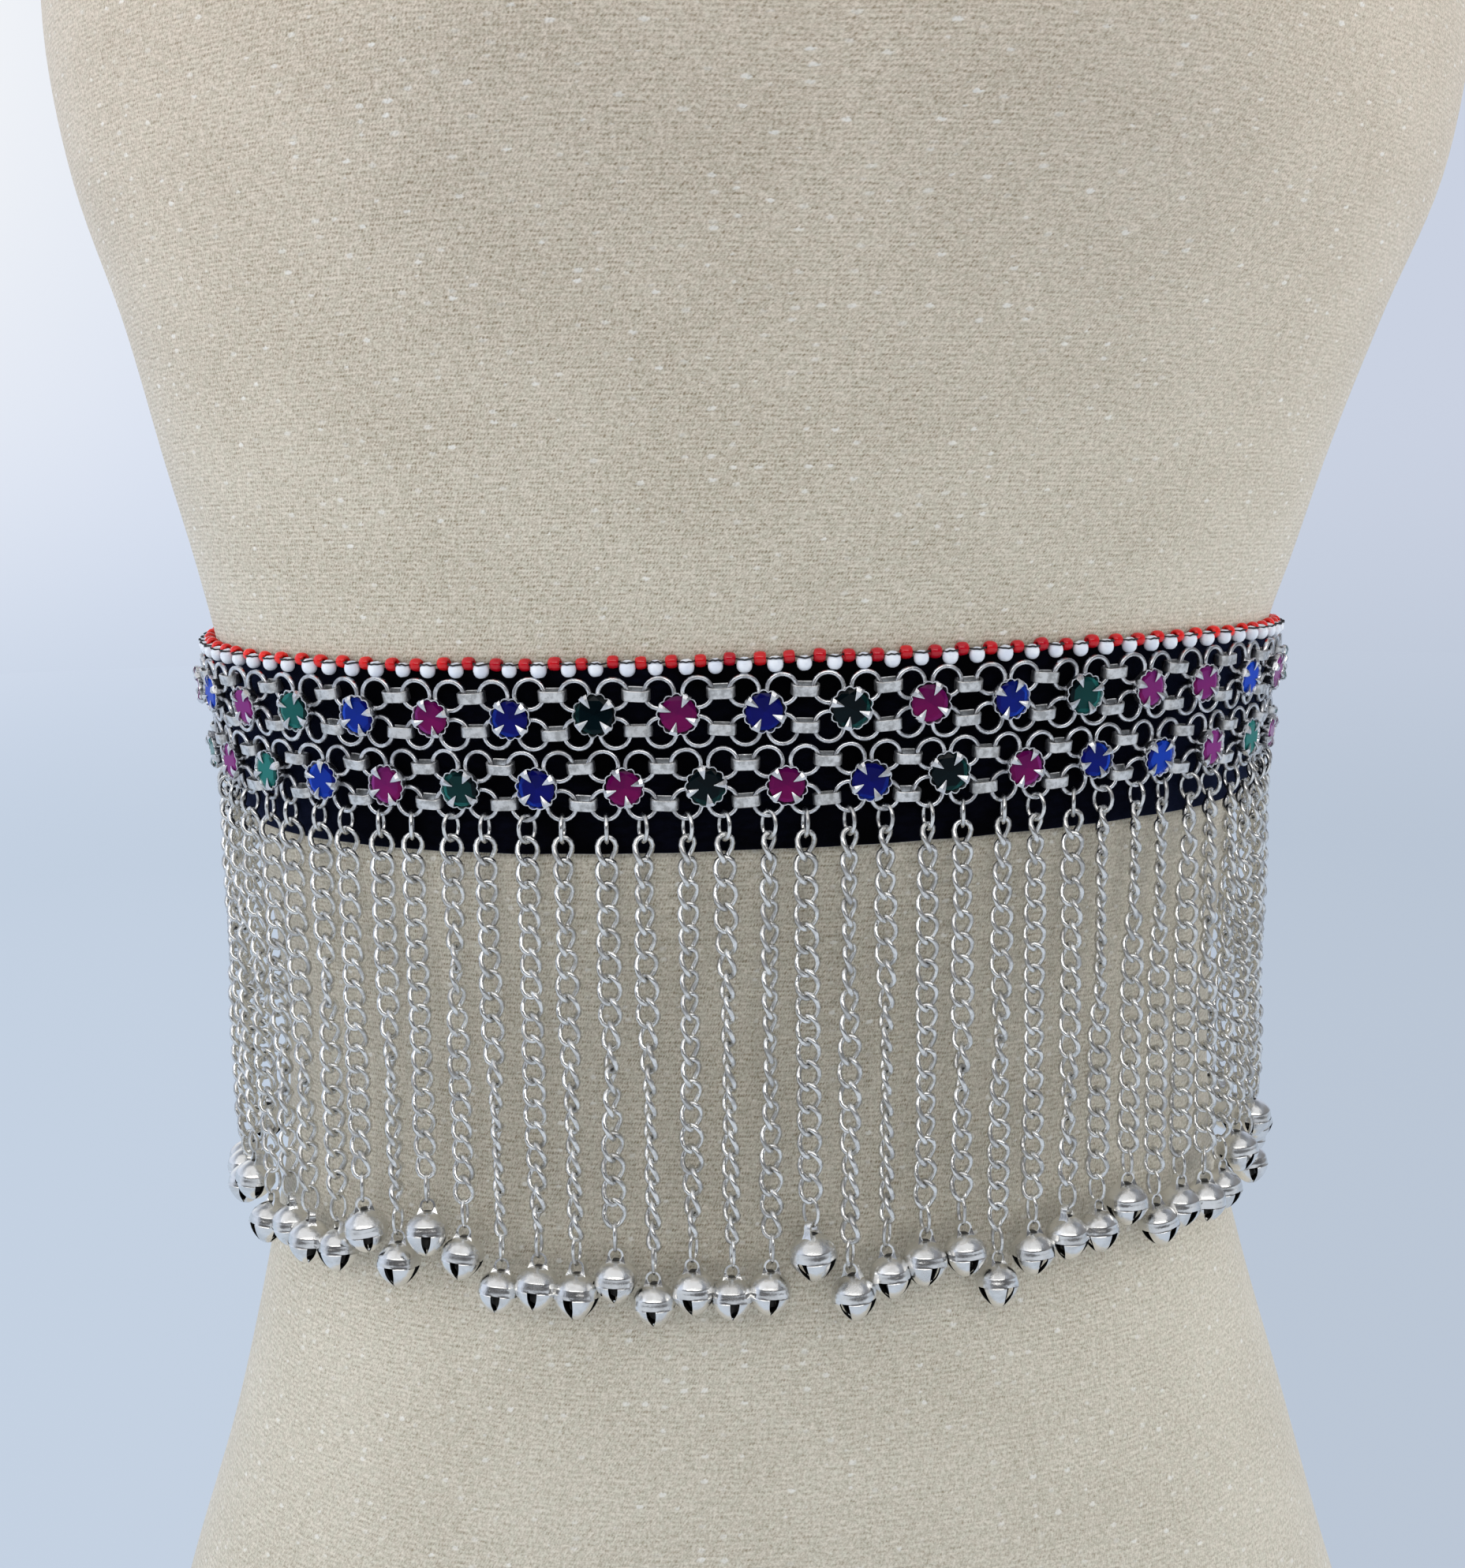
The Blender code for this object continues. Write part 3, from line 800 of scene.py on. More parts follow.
def jerseyTorso():
    # a fine loft of the sections, with softly rounded edges at the base and the neck
    size = torsoForm
    lowest, highest = sectionRows[0, 0], sectionRows[-1, 0]
    edge = size["edgeRound"]
    steps = round((highest - lowest - 2 * edge) / size["rowStep"])
    heights = np.linspace(lowest + edge, highest - edge, steps + 1)
    levels = [(height, 1.0, 0.0) for height in heights]
    for angle in size["edgeAngles"]:
        inset = edge * (1 - math.cos(math.radians(angle)))
        lift = edge * math.sin(math.radians(angle))
        levels.append((highest - edge + lift, 1.0, inset))
        levels.insert(0, (lowest + edge - lift, 1.0, inset))
    for share in size["capShares"]:
        levels.append((highest, share, edge))
        levels.insert(0, (lowest, share, edge))
    turns = [turnAt(part * girth) for part in np.linspace(-0.5, 0.5, size["columns"] + 1)[:-1]]
    rows = []
    for height, share, inset in levels:
        row = [liftedPoint(turn, height, -inset) for turn in turns]
        middle = sum(row, Vector()) / len(row)
        rows.append([middle + (point - middle) * share for point in row])
    bm = bmesh.new()
    lines, _ = skin(bm, rows)
    for line, row in ((lines[0], rows[0]), (lines[-1], rows[-1])):
        centre = bm.verts.new(sum(row, Vector()) / len(row))
        for i, vert in enumerate(line):
            bm.faces.new((vert, line[(i + 1) % len(line)], centre))
    layWeave(bm, rows, lines)
    piece = newObject("jersey_torso", finishMesh(bm, "jersey_torso", 60))
    piece.data.materials.append(jerseyMaterial())
    settle(piece, ["dress_form"])


jerseyTorso()
print("jersey torso made")


# velvet ribbon

velvetPile = {
    "pile": (0.0008, 0.0008, 0.0013),
    "crushed": (0.0026, 0.0030, 0.0075),
    "pressed": {"Along": 46.0, "Across": 70.0, "Softness": 0.2},
    "streaks": {"Along": 340.0, "Across": 900.0, "Softness": 0.3},
    # painted sheen: navy laid on where the pile is seen aslant
    "aslant": (0.006, 0.009, 0.026),
    "aslantFrom": (0.15, 0.70),
    "sheen": (0.22, 0.30, 0.62),
    "sheenWeight": 0.20,
    "sheenRoughness": 0.22,
    "specular": 0.03,
    "relief": 0.00012,
}


def velvetMaterial():
    size = velvetPile
    material, tree, surface = newMaterial("velvet", size["pile"])
    place = addNode(tree, "ShaderNodeUVMap", {}, uv_map="weave")["UV"]
    pressed, streak = (placeGroup(tree, slubs, {"Place": place, **size[label]})["Mask"]
                       for label in ("pressed", "streaks"))
    pile = noise(tree, place, 5200.0, 2.0, 0.8, "2D")
    streaked = calc(tree, "MULTIPLY_ADD", streak, 0.6, 0.4)
    mask = calc(tree, "MULTIPLY", pressed, streaked)
    shade = blend(tree, mask, size["pile"], size["crushed"])
    # painted sheen: the pile turns navy where it is seen aslant
    rim = addNode(tree, "ShaderNodeLayerWeight", {"Blend": 0.5})
    aslant = remap(tree, rim["Facing"], *size["aslantFrom"])
    feed(tree, surface, {
        "Base Color": blend(tree, aslant, shade, size["aslant"]),
        "Roughness": calc(tree, "MULTIPLY_ADD", pile, 0.15, 0.82)})
    addBump(tree, surface, calc(tree, "MULTIPLY_ADD", mask, 0.4, pile), size["relief"])
    clothFinish(tree, surface, size)
    return material


def velvetBand():
    # once round the form, its outer end lapped over the start at the centre back
    size = velvetRibbon
    chance = random.Random(size["seed"])
    length = girth + size["lap"]
    ripples = [(chance.uniform(*size["rippleRates"]), chance.uniform(0, math.tau))
               for _ in range(size["rippleCount"])]
    rows = []
    for i in range(size["columns"] + 1):
        run = i / size["columns"] * length
        along = size["end"] - length + run
        lap = float(np.interp(along, size["lapEase"], (0.0, size["lapRise"])))
        fuzz = sum(math.sin(rate * run + start) for rate, start in ripples) / len(ripples)
        row = []
        for j in range(size["rows"] + 1):
            part = j / size["rows"]
            down = part * size["height"] + fuzz * size["edgeRipple"] * part ** 6
            row.append(onBelt(along, down, size["offForm"] + lap))
        rows.append(row)
    bm = bmesh.new()
    lines, _ = skin(bm, rows, closed=False)
    weave = bm.loops.layers.uv.new("weave")
    spots = {vert: (i / size["columns"] * length, 1 - j / size["rows"])
             for i, line in enumerate(lines) for j, vert in enumerate(line)}
    for face in bm.faces:
        for loop in face.loops:
            along, part = spots[loop.vert]
            loop[weave].uv = (along, part * size["height"])
    facesOut(bm)
    mesh = bpy.data.meshes.new("velvet_band")
    bm.to_mesh(mesh)
    bm.free()
    mesh.shade_smooth()
    piece = newObject("velvet_band", mesh)
    wall = piece.modifiers.new("wall", "SOLIDIFY")
    wall.thickness = size["wall"]
    wall.offset = 1.0
    wall.use_even_offset = True
    rounded = piece.modifiers.new("soft edges", "BEVEL")
    rounded.width = size["edgeBevel"]
    rounded.segments = 2
    rounded.limit_method = "ANGLE"
    graph = bpy.context.evaluated_depsgraph_get()
    piece.data = bpy.data.meshes.new_from_object(piece.evaluated_get(graph))
    piece.modifiers.clear()
    piece.data.materials.append(velvetMaterial())
    settle(piece, ["velvet_ribbon"])


velvetBand()
print("velvet ribbon made")


# jewelled openwork: four rings round each jewel, and band links between the clusters

openwork = {
    "pitch": 0.01642,
    "clusters": range(-19, 19),
    "rows": (
        # down the ribbon, shift along it, stones from the first one on
        {"down": 0.0091, "shift": -0.0034, "first": -7, "stones": "pgbpbgpbgpbgppb"},
        {"down": 0.0235, "shift": 0.0011, "first": -8, "stones": "pgbpgbpgpbgpbbpg"},
    ),
    "ringAlong": 3.7 * mm,
    "ringDown": 3.9 * mm,
    "ringOut": 1.9 * mm,
    "ringDiameter": 6.9 * mm,
    "ringWire": 0.88 * mm,
    "ringDepth": 1.2 * mm,
    "ringShift": 0.084 * mm,
    "linkDown": 3.75 * mm,
    "linkOut": 1.85 * mm,
    "linkLength": 5.8 * mm,
    "linkReach": 3.45 * mm,
    "linkStrip": 0.48 * mm,
    "linkHeight": 2.25 * mm,
    "linkShift": 0.22 * mm,
    "linkStandOff": (-0.10 * mm, 0.25 * mm),
    "linkLean": (-0.05, 0.26),
    "seed": 11,
}


def clusterSpots():
    # every cluster of both rows: its row, its number and its middle along the belt
    for row in openwork["rows"]:
        for number in openwork["clusters"]:
            yield row, number, row["shift"] + number * openwork["pitch"]


def ringPieces(metal, linkMetal):
    size = openwork
    chance = random.Random(size["seed"])
    rings, links = [], []
    for row, number, middle in clusterSpots():
        for side in (-1, 1):
            for level in (-1, 1):
                along = middle + side * size["ringAlong"] + chance.gauss(0, size["ringShift"])
                down = row["down"] + level * size["ringDown"] + chance.gauss(0, size["ringShift"])
                out = ribbonFace + size["ringOut"]
                rings.append((beltFrame(along, down, out), 1.0))
        if number == size["clusters"][-1]:
            continue
        for level in (-1, 1):
            down = row["down"] + level * size["linkDown"] + chance.gauss(0, size["linkShift"])
            out = ribbonFace + size["linkOut"] + chance.uniform(*size["linkStandOff"])
            lean = chance.uniform(*size["linkLean"])
            spot = beltFrame(middle + size["pitch"] / 2, down, out)
            links.append((spot @ Matrix.Rotation(lean, 4, "X"), 1.0))
    ringPiece = grow(
        "openwork_rings", ringTree(), pointHost("ring points", rings), metal,
        Diameter=size["ringDiameter"], Wire=size["ringWire"], Depth=size["ringDepth"],
        Corner=0.20 * mm, Segments=22, Wobble=(0.13, 0.5, 0.13), Seed=3)
    settle(ringPiece, ["jewel_row_upper", "bell_fringe"])
    linkPiece = grow(
        "openwork_band_links", bandLinkTree(), pointHost("link points", links), linkMetal,
        Length=size["linkLength"], Reach=size["linkReach"], Strip=size["linkStrip"],
        Height=size["linkHeight"], Round=1.3 * mm, Corner=0.12 * mm, Segments=4,
        Wobble=(0.05, 0.07, 0.05), Seed=8)
    settle(linkPiece, ["jewel_row_upper", "bell_fringe"])


ringPieces(platedMetal("ring metal"), platedMetal("band link metal"))
print("rings and band links made")


# jewels: a scalloped cup with four folded prongs, and a faceted foil-backed stone

jewel = {
    "cup": (
        # out from the ribbon, radius, how deep the scallops are, in millimetres
        (1.50, 0.60, 0.00),
        (1.50, 2.60, 0.00),
        (2.00, 3.40, 0.05),
        (3.10, 3.94, 0.28),
        (4.14, 4.22, 0.52),
        (4.28, 4.18, 0.52),
        (4.28, 3.98, 0.52),
        (3.80, 3.78, 0.30),
        (3.10, 3.40, 0.00),
    ),
    "lobes": 13,
    "perLobe": 4,
    "lobeMiddle": 0.6,
    "lobeSpread": (0.55, 1.25),
    "prong": (
        # radius, width, out, thickness, in millimetres
        (4.28, 1.75, 3.90, 0.26),
        (4.16, 1.80, 4.50, 0.28),
        (3.45, 1.36, 4.86, 0.28),
        (2.55, 0.78, 4.74, 0.24),
        (1.60, 0.12, 4.46, 0.16),
    ),
    "prongTurns": (38.0, 133.0, 229.0, 311.0),
    "stoneRadius": 3.68,
    "tableRadius": 3.00,
    "girdleOut": 4.00,
    "tableOut": 4.28,
    "culetOut": 2.00,
    "stoneSides": 8,
    "flash": {
        # facet: least brightness, and what its side of the stone adds, as painted light brighter on
        # the lower side
        "table": (0.30, 0.40),
        "before": (0.10, 0.75),
        "kite": (0.20, 0.80),
        "after": (0.10, 0.60),
        "under": (0.0, 0.0),
    },
    "flashSpread": 0.10,
    "spin": 34.0,
    "lean": 0.05,
    "shiftAlong": 0.25 * mm,
    "shiftDown": 0.20 * mm,
    "sizeSpread": 0.045,
    "seed": 21,
}


def cupPattern():
    size = jewel
    chance = random.Random(size["seed"])
    count = size["lobes"] * size["perLobe"]
    uneven = [chance.uniform(*size["lobeSpread"]) for _ in range(size["lobes"])]
    rows = []
    for out, radius, depth in size["cup"]:
        row = []
        for i in range(count):
            angle = math.tau * i / count
            bulge = abs(math.sin(size["lobes"] * angle / 2)) - size["lobeMiddle"]
            reach = (radius + depth * bulge * uneven[i // size["perLobe"]]) * mm
            row.append((reach * math.cos(angle), -out * mm, reach * math.sin(angle)))
        rows.append(row)
    bm = bmesh.new()
    skinShut(bm, rows)
    for turn in size["prongTurns"]:
        addProng(bm, math.radians(turn))
    return newObject("cup pattern", finishMesh(bm, "cup pattern", 32))


def addProng(bm, way):
    # a claw folded over the stone, thinner toward its tip, with a low ridge along it
    outward = Vector((math.cos(way), 0, math.sin(way)))
    sideways = Vector((-math.sin(way), 0, math.cos(way)))
    rows = []
    for radius, width, out, thick in jewel["prong"]:
        ridge = 0.13 * width + 0.05
        corners = ((-1, 0), (-0.2, ridge), (1, 0), (0.9, -thick), (-0.9, -thick))
        rows.append([(outward * radius + sideways * side * width / 2
                      + Vector((0, -out - lift, 0))) * mm for side, lift in corners])
    skinShut(bm, rows)


def stonePattern(seed):
    # an eight-sided table and its crown facets; each facet has its own painted light, the lower
    # side of the stone brighter
    size = jewel
    sides = size["stoneSides"]
    chance = random.Random(seed)
    bm = bmesh.new()
    flash = bm.faces.layers.float.new("flash")

    def corner(radius, step, out):
        angle = math.pi * step / sides
        return bm.verts.new(
            (radius * mm * math.cos(angle), -out * mm, radius * mm * math.sin(angle)))

    girdle = [corner(size["stoneRadius"], i, size["girdleOut"]) for i in range(2 * sides)]
    table = [corner(size["tableRadius"], 2 * i + 1, size["tableOut"]) for i in range(sides)]
    heart = bm.verts.new((0.0, -size["tableOut"] * mm, 0.0))
    culet = bm.verts.new((0.0, -size["culetOut"] * mm, 0.0))
    for i in range(sides):
        following = table[(i + 1) % sides]
        first, middle, last = (girdle[(2 * i + k) % (2 * sides)] for k in (1, 2, 3))
        # painted light: facets toward the stone's lower side are lit brighter
        glow = 0.5 - 0.5 * math.sin(math.tau * (i + 1) / sides)
        for facet, corners in (
            ("table", (heart, table[i], following)),
            ("before", (table[i], first, middle)),
            ("kite", (table[i], middle, following)),
            ("after", (following, middle, last)),
            ("under", (culet, first, middle)),
            ("under", (culet, middle, last)),
        ):
            least, more = size["flash"][facet]
            spread = chance.uniform(-size["flashSpread"], size["flashSpread"])
            bm.faces.new(corners)[flash] = least + more * glow + spread
    return newObject("stone pattern", finishMesh(bm, "stone pattern"))


def jewelPieces(metal, glasses):
    size = jewel
    chance = random.Random(size["seed"])
    pattern = sizedPattern()
    cups, stones = [], {letter: [] for letter in glasses}
    for row, number, middle in clusterSpots():
        scale = 1 + chance.uniform(-1, 1) * size["sizeSpread"]
        along = middle + chance.uniform(-1, 1) * size["shiftAlong"]
        down = row["down"] + chance.uniform(-1, 1) * size["shiftDown"]
        spot = beltFrame(along, down, ribbonFace)
        spin = math.radians(chance.uniform(-1, 1) * size["spin"] + 90 * chance.randrange(4))
        lean = Euler((chance.gauss(0, size["lean"]), 0, chance.gauss(0, size["lean"])))
        lean = lean.to_matrix().to_4x4()
        spot = spot @ lean @ Matrix.Rotation(spin, 4, "Y")
        cups.append((spot, scale))
        letter = row["stones"][(number - row["first"]) % len(row["stones"])]
        stones[letter].append((spot @ Matrix.Rotation(-spin, 4, "Y"), scale))
    shape = cupPattern()
    piece = grow("jewel_cups", pattern, pointHost("cup points", cups), metal,
                 Pattern=shape, Wobble=(0, 0, 0), Seed=0)
    bpy.data.objects.remove(shape)
    settle(piece, ["jewel_row_upper", "bell_fringe"])
    for order, (letter, (name, glass)) in enumerate(glasses.items()):
        shape = stonePattern(order + 2)
        piece = grow(f"stones_{name}", pattern, pointHost("stone points", stones[letter]), glass,
                     Pattern=shape, Wobble=(0.04, 0.3, 0.04), Seed=order)
        bpy.data.objects.remove(shape)
        settle(piece, ["jewel_row_upper", "bell_fringe"])
    return pattern


cupMetal = platedMetal("cup metal")
stoneColours = {
    # letter in the rows: name, bright facets, deep facets, seen aslant; the bright and the aslant
    # colours are painted light
    "p": ("purple", (0.18, 0.002, 0.078), (0.06, 0.001, 0.045), (0.18, 0.020, 0.165)),
    "b": ("blue", (0.002, 0.004, 0.150), (0.0015, 0.002, 0.06), (0.004, 0.045, 0.42)),
    "g": ("green", (0.001, 0.007, 0.010), (0.0004, 0.002, 0.003), (0.012, 0.140, 0.130)),
}
patternTree = jewelPieces(cupMetal, {
    letter: (name, foilGlass(f"stone {name}", *colours))
    for letter, (name, *colours) in stoneColours.items()
})
print("jewels made")


# fringe: two chains of twisted links under each lower cluster, a bell on each

fringe = {
    "drop": 97.6 * mm,
    "bellSpacing": 8.21 * mm,
    "chainOut": 2.35 * mm,
    "linkLength": 7.15 * mm,
    "linkWidth": 5.5 * mm,
    "linkWire": 1.22 * mm,
    "linkPitch": 4.70 * mm,
    "linkTwist": math.radians(-80),
    "hookTurn": (90.0, 40.0),                                   # degrees, and how far they vary
    "firstTurn": (135.0, 12.0),
    "turnStep": (-9.0, 14.0),
    "turnWave": (0.25, 0.55),
    "lastCrossing": 48.0,
    "turnTries": 40,
    "swing": 0.012,
    "hookLength": 6.5 * mm,
    "hookWidth": 5.1 * mm,
    "hookWire": 0.96 * mm,
    "jumpLength": 6.9 * mm,
    "jumpWidth": 4.4 * mm,
    "jumpWire": 0.84 * mm,
    "jumpAboveBell": 9.25 * mm,
    "lastLinkAboveBell": 10.85 * mm,
    "solidReach": 7.1 * mm,
    "bellSpread": 0.035,
    "bellTurn": 15.0,
    "bellTilt": (-0.13, 0.05),
    "bellHangsFrom": 6.8 * mm,
    "forwardLarger": 0.035,
    "forwardTilt": 0.05,
    "frontStrands": range(-10, 10),
    "firstChange": -6,
    "dropChanges": (
        # left chain, right chain, in millimetres, from six clusters left of the middle
        (0.5, -6.2), (0.0, -8.7), (-3.8, 2.8), (1.4, 2.7), (-0.5, 4.5), (2.0, 3.5), (2.8, -5.1),
        (4.5, 1.3), (-0.9, -1.6), (6.2, 0.7), (-1.2, -1.0), (-5.2, 1.7), (-0.4, 0.6),
    ),
    "turnedBells": {
        # cluster, side: how far the bell has turned, in degrees, and how far it stands out
        (0, 1): (52, 1.4), (1, -1): (-38, 1.2), (-6, 1): (44, 1.0), (-5, 1): (28, 0.8),
        (-7, 1): (-30, 0.6), (4, -1): (35, 0.6), (6, 1): (-48, 0.8),
    },
    "seed": 37,
}


def linkTurns(chance, count, bellTurn):
    # the links turn on slowly down the strand, and the last one has to cross the bell's ring
    size = fringe
    mean, vary = size["turnStep"]
    for _ in range(size["turnTries"]):
        middle, spread = size["hookTurn"]
        hookTurn = math.radians(middle + chance.uniform(-spread, spread))
        middle, spread = size["firstTurn"]
        first = math.radians(middle + chance.uniform(-spread, spread))
        turns = [first + hookTurn / 2 - size["linkTwist"] / 2]
        phase = chance.uniform(0, math.tau)
        rate = chance.uniform(*size["turnWave"])
        for k in range(1, count):
            turns.append(turns[-1] + math.radians(mean + vary * math.sin(phase + rate * k)))
        crossing = (turns[-1] - size["linkTwist"] / 2 - bellTurn) % math.pi
        if abs(crossing - math.pi / 2) > math.radians(size["lastCrossing"]):
            break
    return hookTurn, turns


def strandAt(chance, number, side, change):
    # frames for the hook, the links, the jump ring and the bell of one strand
    size = fringe
    row = openwork["rows"][1]
    middle = row["shift"] + number * openwork["pitch"]
    root = row["down"] + openwork["ringDown"] + openwork["ringDiameter"] / 2 - openwork["ringWire"]
    bellDown = row["down"] + size["solidReach"] + size["drop"] + change * mm
    hookMiddle = root - size["hookWire"] + size["hookLength"] / 2
    hookEnd = root + size["hookLength"] - 2 * size["hookWire"]
    firstLink = hookEnd - size["linkWire"] + size["linkLength"] / 2
    run = bellDown - size["lastLinkAboveBell"] - size["linkLength"] / 2 - firstLink
    count = round(run / size["linkPitch"]) + 1
    pitch = run / (count - 1)
    start = middle + side * openwork["ringAlong"]
    finish = middle + side * size["bellSpacing"] / 2

    def frameAt(down, out=0.0):
        part = min(max((down - root) / (bellDown - root), 0.0), 1.0)
        along = start + (finish - start) * part
        return plumbFrame(along, down, ribbonFace + size["chainOut"] + out, root)

    usual = (chance.gauss(0, size["bellTurn"]), 0.0)
    turn, forward = size["turnedBells"].get((number, side), usual)
    bellTurn = math.radians(turn)
    hookTurn, turns = linkTurns(chance, count, bellTurn)
    swing = chance.gauss(0, size["swing"])
    links = []
    for k, linkTurn in enumerate(turns):
        spot = frameAt(firstLink + pitch * k, forward * mm * ((k + 1) / count) ** 2)
        links.append((spot @ Matrix.Rotation(linkTurn, 4, "Z"), pitch / size["linkPitch"]))
    ring = frameAt(bellDown - size["jumpAboveBell"], forward * mm)
    scale = 1 + chance.uniform(-1, 1) * size["bellSpread"] + forward * size["forwardLarger"]
    tilt, vary = size["bellTilt"]
    tilt += chance.gauss(0, vary) + forward * size["forwardTilt"]
    hangs = Matrix.Translation((0, 0, size["bellHangsFrom"]))
    lean = Matrix.Rotation(swing * 4, 4, "Y") @ Matrix.Rotation(tilt, 4, "X")
    ball = frameAt(bellDown, forward * mm) @ hangs @ lean @ hangs.inverted()
    return {
        "front": number in size["frontStrands"],
        "hook": (frameAt(hookMiddle) @ Matrix.Rotation(hookTurn, 4, "Z"), 1.0),
        "links": links,
        "jump": (ring @ Matrix.Rotation(bellTurn + math.pi / 2, 4, "Z"), 1.0),
        "bell": (ball @ Matrix.Rotation(bellTurn, 4, "Z"), scale),
    }


def strandSpots():
    size = fringe
    chance = random.Random(size["seed"])
    changes = size["dropChanges"]
    strands = []
    for number in openwork["clusters"]:
        pair = changes[(number - size["firstChange"]) % len(changes)]
        for side, change in zip((-1, 1), pair):
            strands.append(strandAt(chance, number, side, change))
    return strands


def chainPieces(strands, metal):
    size = fringe
    link = chainLinkTree()
    for label, front in (("front", True), ("back", False)):
        spots = [spot for strand in strands if strand["front"] == front for spot in strand["links"]]
        piece = grow(f"fringe_chains_{label}", link, pointHost("chain points", spots), metal,
                     Length=size["linkLength"], Width=size["linkWidth"], Wire=size["linkWire"],
                     Twist=size["linkTwist"], Segments=16, Sides=6,
                     Wobble=(0.03, 0.05, 0.10), Seed=5)
        settle(piece, ["bell_fringe"])
    for name, part, wobble, seed in (
        ("fringe_hook_links", "hook", (0.03, 0.03, 0.0), 6),
        ("fringe_jump_rings", "jump", (0.03, 0.03, 0.12), 7),
    ):
        spots = [strand[part] for strand in strands]
        piece = grow(name, link, pointHost(f"{part} points", spots), metal,
                     Length=size[f"{part}Length"], Width=size[f"{part}Width"],
                     Wire=size[f"{part}Wire"], Twist=0.0, Segments=18, Sides=6,
                     Wobble=wobble, Seed=seed)
        settle(piece, ["bell_fringe"])


bell = {
    # sizes in millimetres; the girth widens every radius
    "girth": 1.06,
    "dome": (
        # height, radius
        (4.42, 0.50), (4.28, 1.12), (3.98, 1.78), (3.50, 2.52), (2.92, 3.16), (2.28, 3.70),
        (1.64, 4.08), (1.36, 4.18), (1.20, 4.17), (0.70, 4.28), (0.10, 4.36), (-0.42, 4.30),
    ),
    "petal": (
        # height, radius, half width of the slot
        (-0.42, 4.30, 1.04), (-0.64, 4.40, 1.04), (-1.08, 4.22, 1.02), (-1.90, 3.86, 0.95),
        (-2.80, 3.30, 0.76), (-3.65, 2.60, 0.42), (-4.35, 1.90, 0.16), (-4.84, 1.22, 0.09),
        (-5.04, 0.56, 0.05),
    ),
    "petalColumns": 6,
    "petalBulge": 0.055,
    "wall": 0.34,
    "bulgeFrom": 3.6,
    "widestSlot": 0.72,                                         # sine of its half angle
    "dullAbove": 4.22,
    "loopTurns": (248.0, -68.0),
    "loopSteps": 12,
    "loopRadius": 1.46,
    "loopHeight": 5.36,
    "loopWidth": 1.30,
    "loopStrip": 0.44,
    "foot": (
        # height, from, to, half width
        (3.50, 0.70, 2.25, 1.05), (4.10, 0.95, 1.98, 0.88), (4.70, 1.26, 1.80, 0.70),
        (5.40, 1.42, 1.68, 0.63),
    ),
    "pea": 1.75,
    "peaSpot": (0.1, 0.1, -2.1),
    # painted shade: near black for the inner walls, the pellet and the crown under the loop
    "inside": (0.006, 0.006, 0.006),
    "insideShown": 0.95,                                        # painted shade on the pellet and the crown under the loop
    "specular": 0.08,
}


def petalPoint(quarter, part, slotHalf, reach, bulge, height):
    # a point across one quarter of the bell, from the edge of one slot to the next
    gap = math.asin(min(slotHalf / reach, bell["widestSlot"]))
    angle = quarter * math.pi / 2 + gap + (math.pi / 2 - 2 * gap) * part
    out = reach * (1 + bulge * (math.sin(math.pi * part) - 0.5))
    return Vector((out * math.cos(angle), out * math.sin(angle), height)) * mm


def bellDome(bm):
    # each row has two points over every slot, then the columns of a petal
    size = bell
    _, radius, slotHalf = size["petal"][0]
    slotAngle = math.asin(slotHalf / radius / size["girth"])
    columns = size["petalColumns"]
    rows = []
    for height, narrow in size["dome"]:
        reach = narrow * size["girth"]
        bulge = size["petalBulge"] * min(max(1 - height / size["bulgeFrom"], 0.0), 1.0) ** 2
        edge = reach * (1 - bulge * 0.5)
        row = []
        for quarter in range(4):
            for step in (-slotAngle, 0.0):
                angle = quarter * math.pi / 2 + step
                row.append(Vector((edge * math.cos(angle), edge * math.sin(angle), height)) * mm)
            half = math.sin(slotAngle) * reach
            row += [petalPoint(quarter, i / columns, half, reach, bulge, height)
                    for i in range(columns)]
        rows.append(row)
    lines, faces = skin(bm, rows)
    crown = bm.verts.new((0, 0, (size["dome"][0][0] + 0.03) * mm))
    for i, vert in enumerate(lines[0]):
        faces.append(bm.faces.new((vert, lines[0][(i + 1) % len(lines[0])], crown)))
    return lines[-1], faces


def bellPetals(bm, ring):
    # four petals run on down from the dome's last row, with the slots between them
    size = bell
    columns = size["petalColumns"]
    for quarter in range(4):
        begin = quarter * (columns + 2) + 2
        petal = [[ring[(begin + i) % len(ring)] for i in range(columns + 1)]]
        for height, narrow, slotHalf in size["petal"][1:]:
            reach = narrow * size["girth"]
            row = [petalPoint(quarter, i / columns, slotHalf, reach, size["petalBulge"], height)
                   for i in range(columns + 1)]
            petal.append([bm.verts.new(point) for point in row])
        skinLines(bm, petal, closed=False)


def bellLoop(bm):
    # a strip bent into a loop, with a flared foot at each end
    size = bell
    path = []
    for angle in np.linspace(*size["loopTurns"], size["loopSteps"] + 1):
        across = size["loopRadius"] * math.cos(math.radians(angle))
        up = size["loopHeight"] + size["loopRadius"] * math.sin(math.radians(angle))
        path.append(Vector((across, 0, up)) * mm)
    wide, thick = size["loopWidth"] / 2, size["loopStrip"] / 2
    profile = ((-wide, -thick), (wide, -thick), (wide, thick), (0.0, thick + 0.06), (-wide, thick))
    sweep(bm, path, [(side * mm, up * mm) for side, up in profile])
    for side in (-1, 1):
        rows = []
        for height, start, end, half in size["foot"]:
            rows.append([Vector((side * x, y, height)) * mm
                         for x, y in ((start, -half), (end, -half), (end, half), (start, half))])
        bmesh.ops.recalc_face_normals(bm, faces=skinShut(bm, rows))


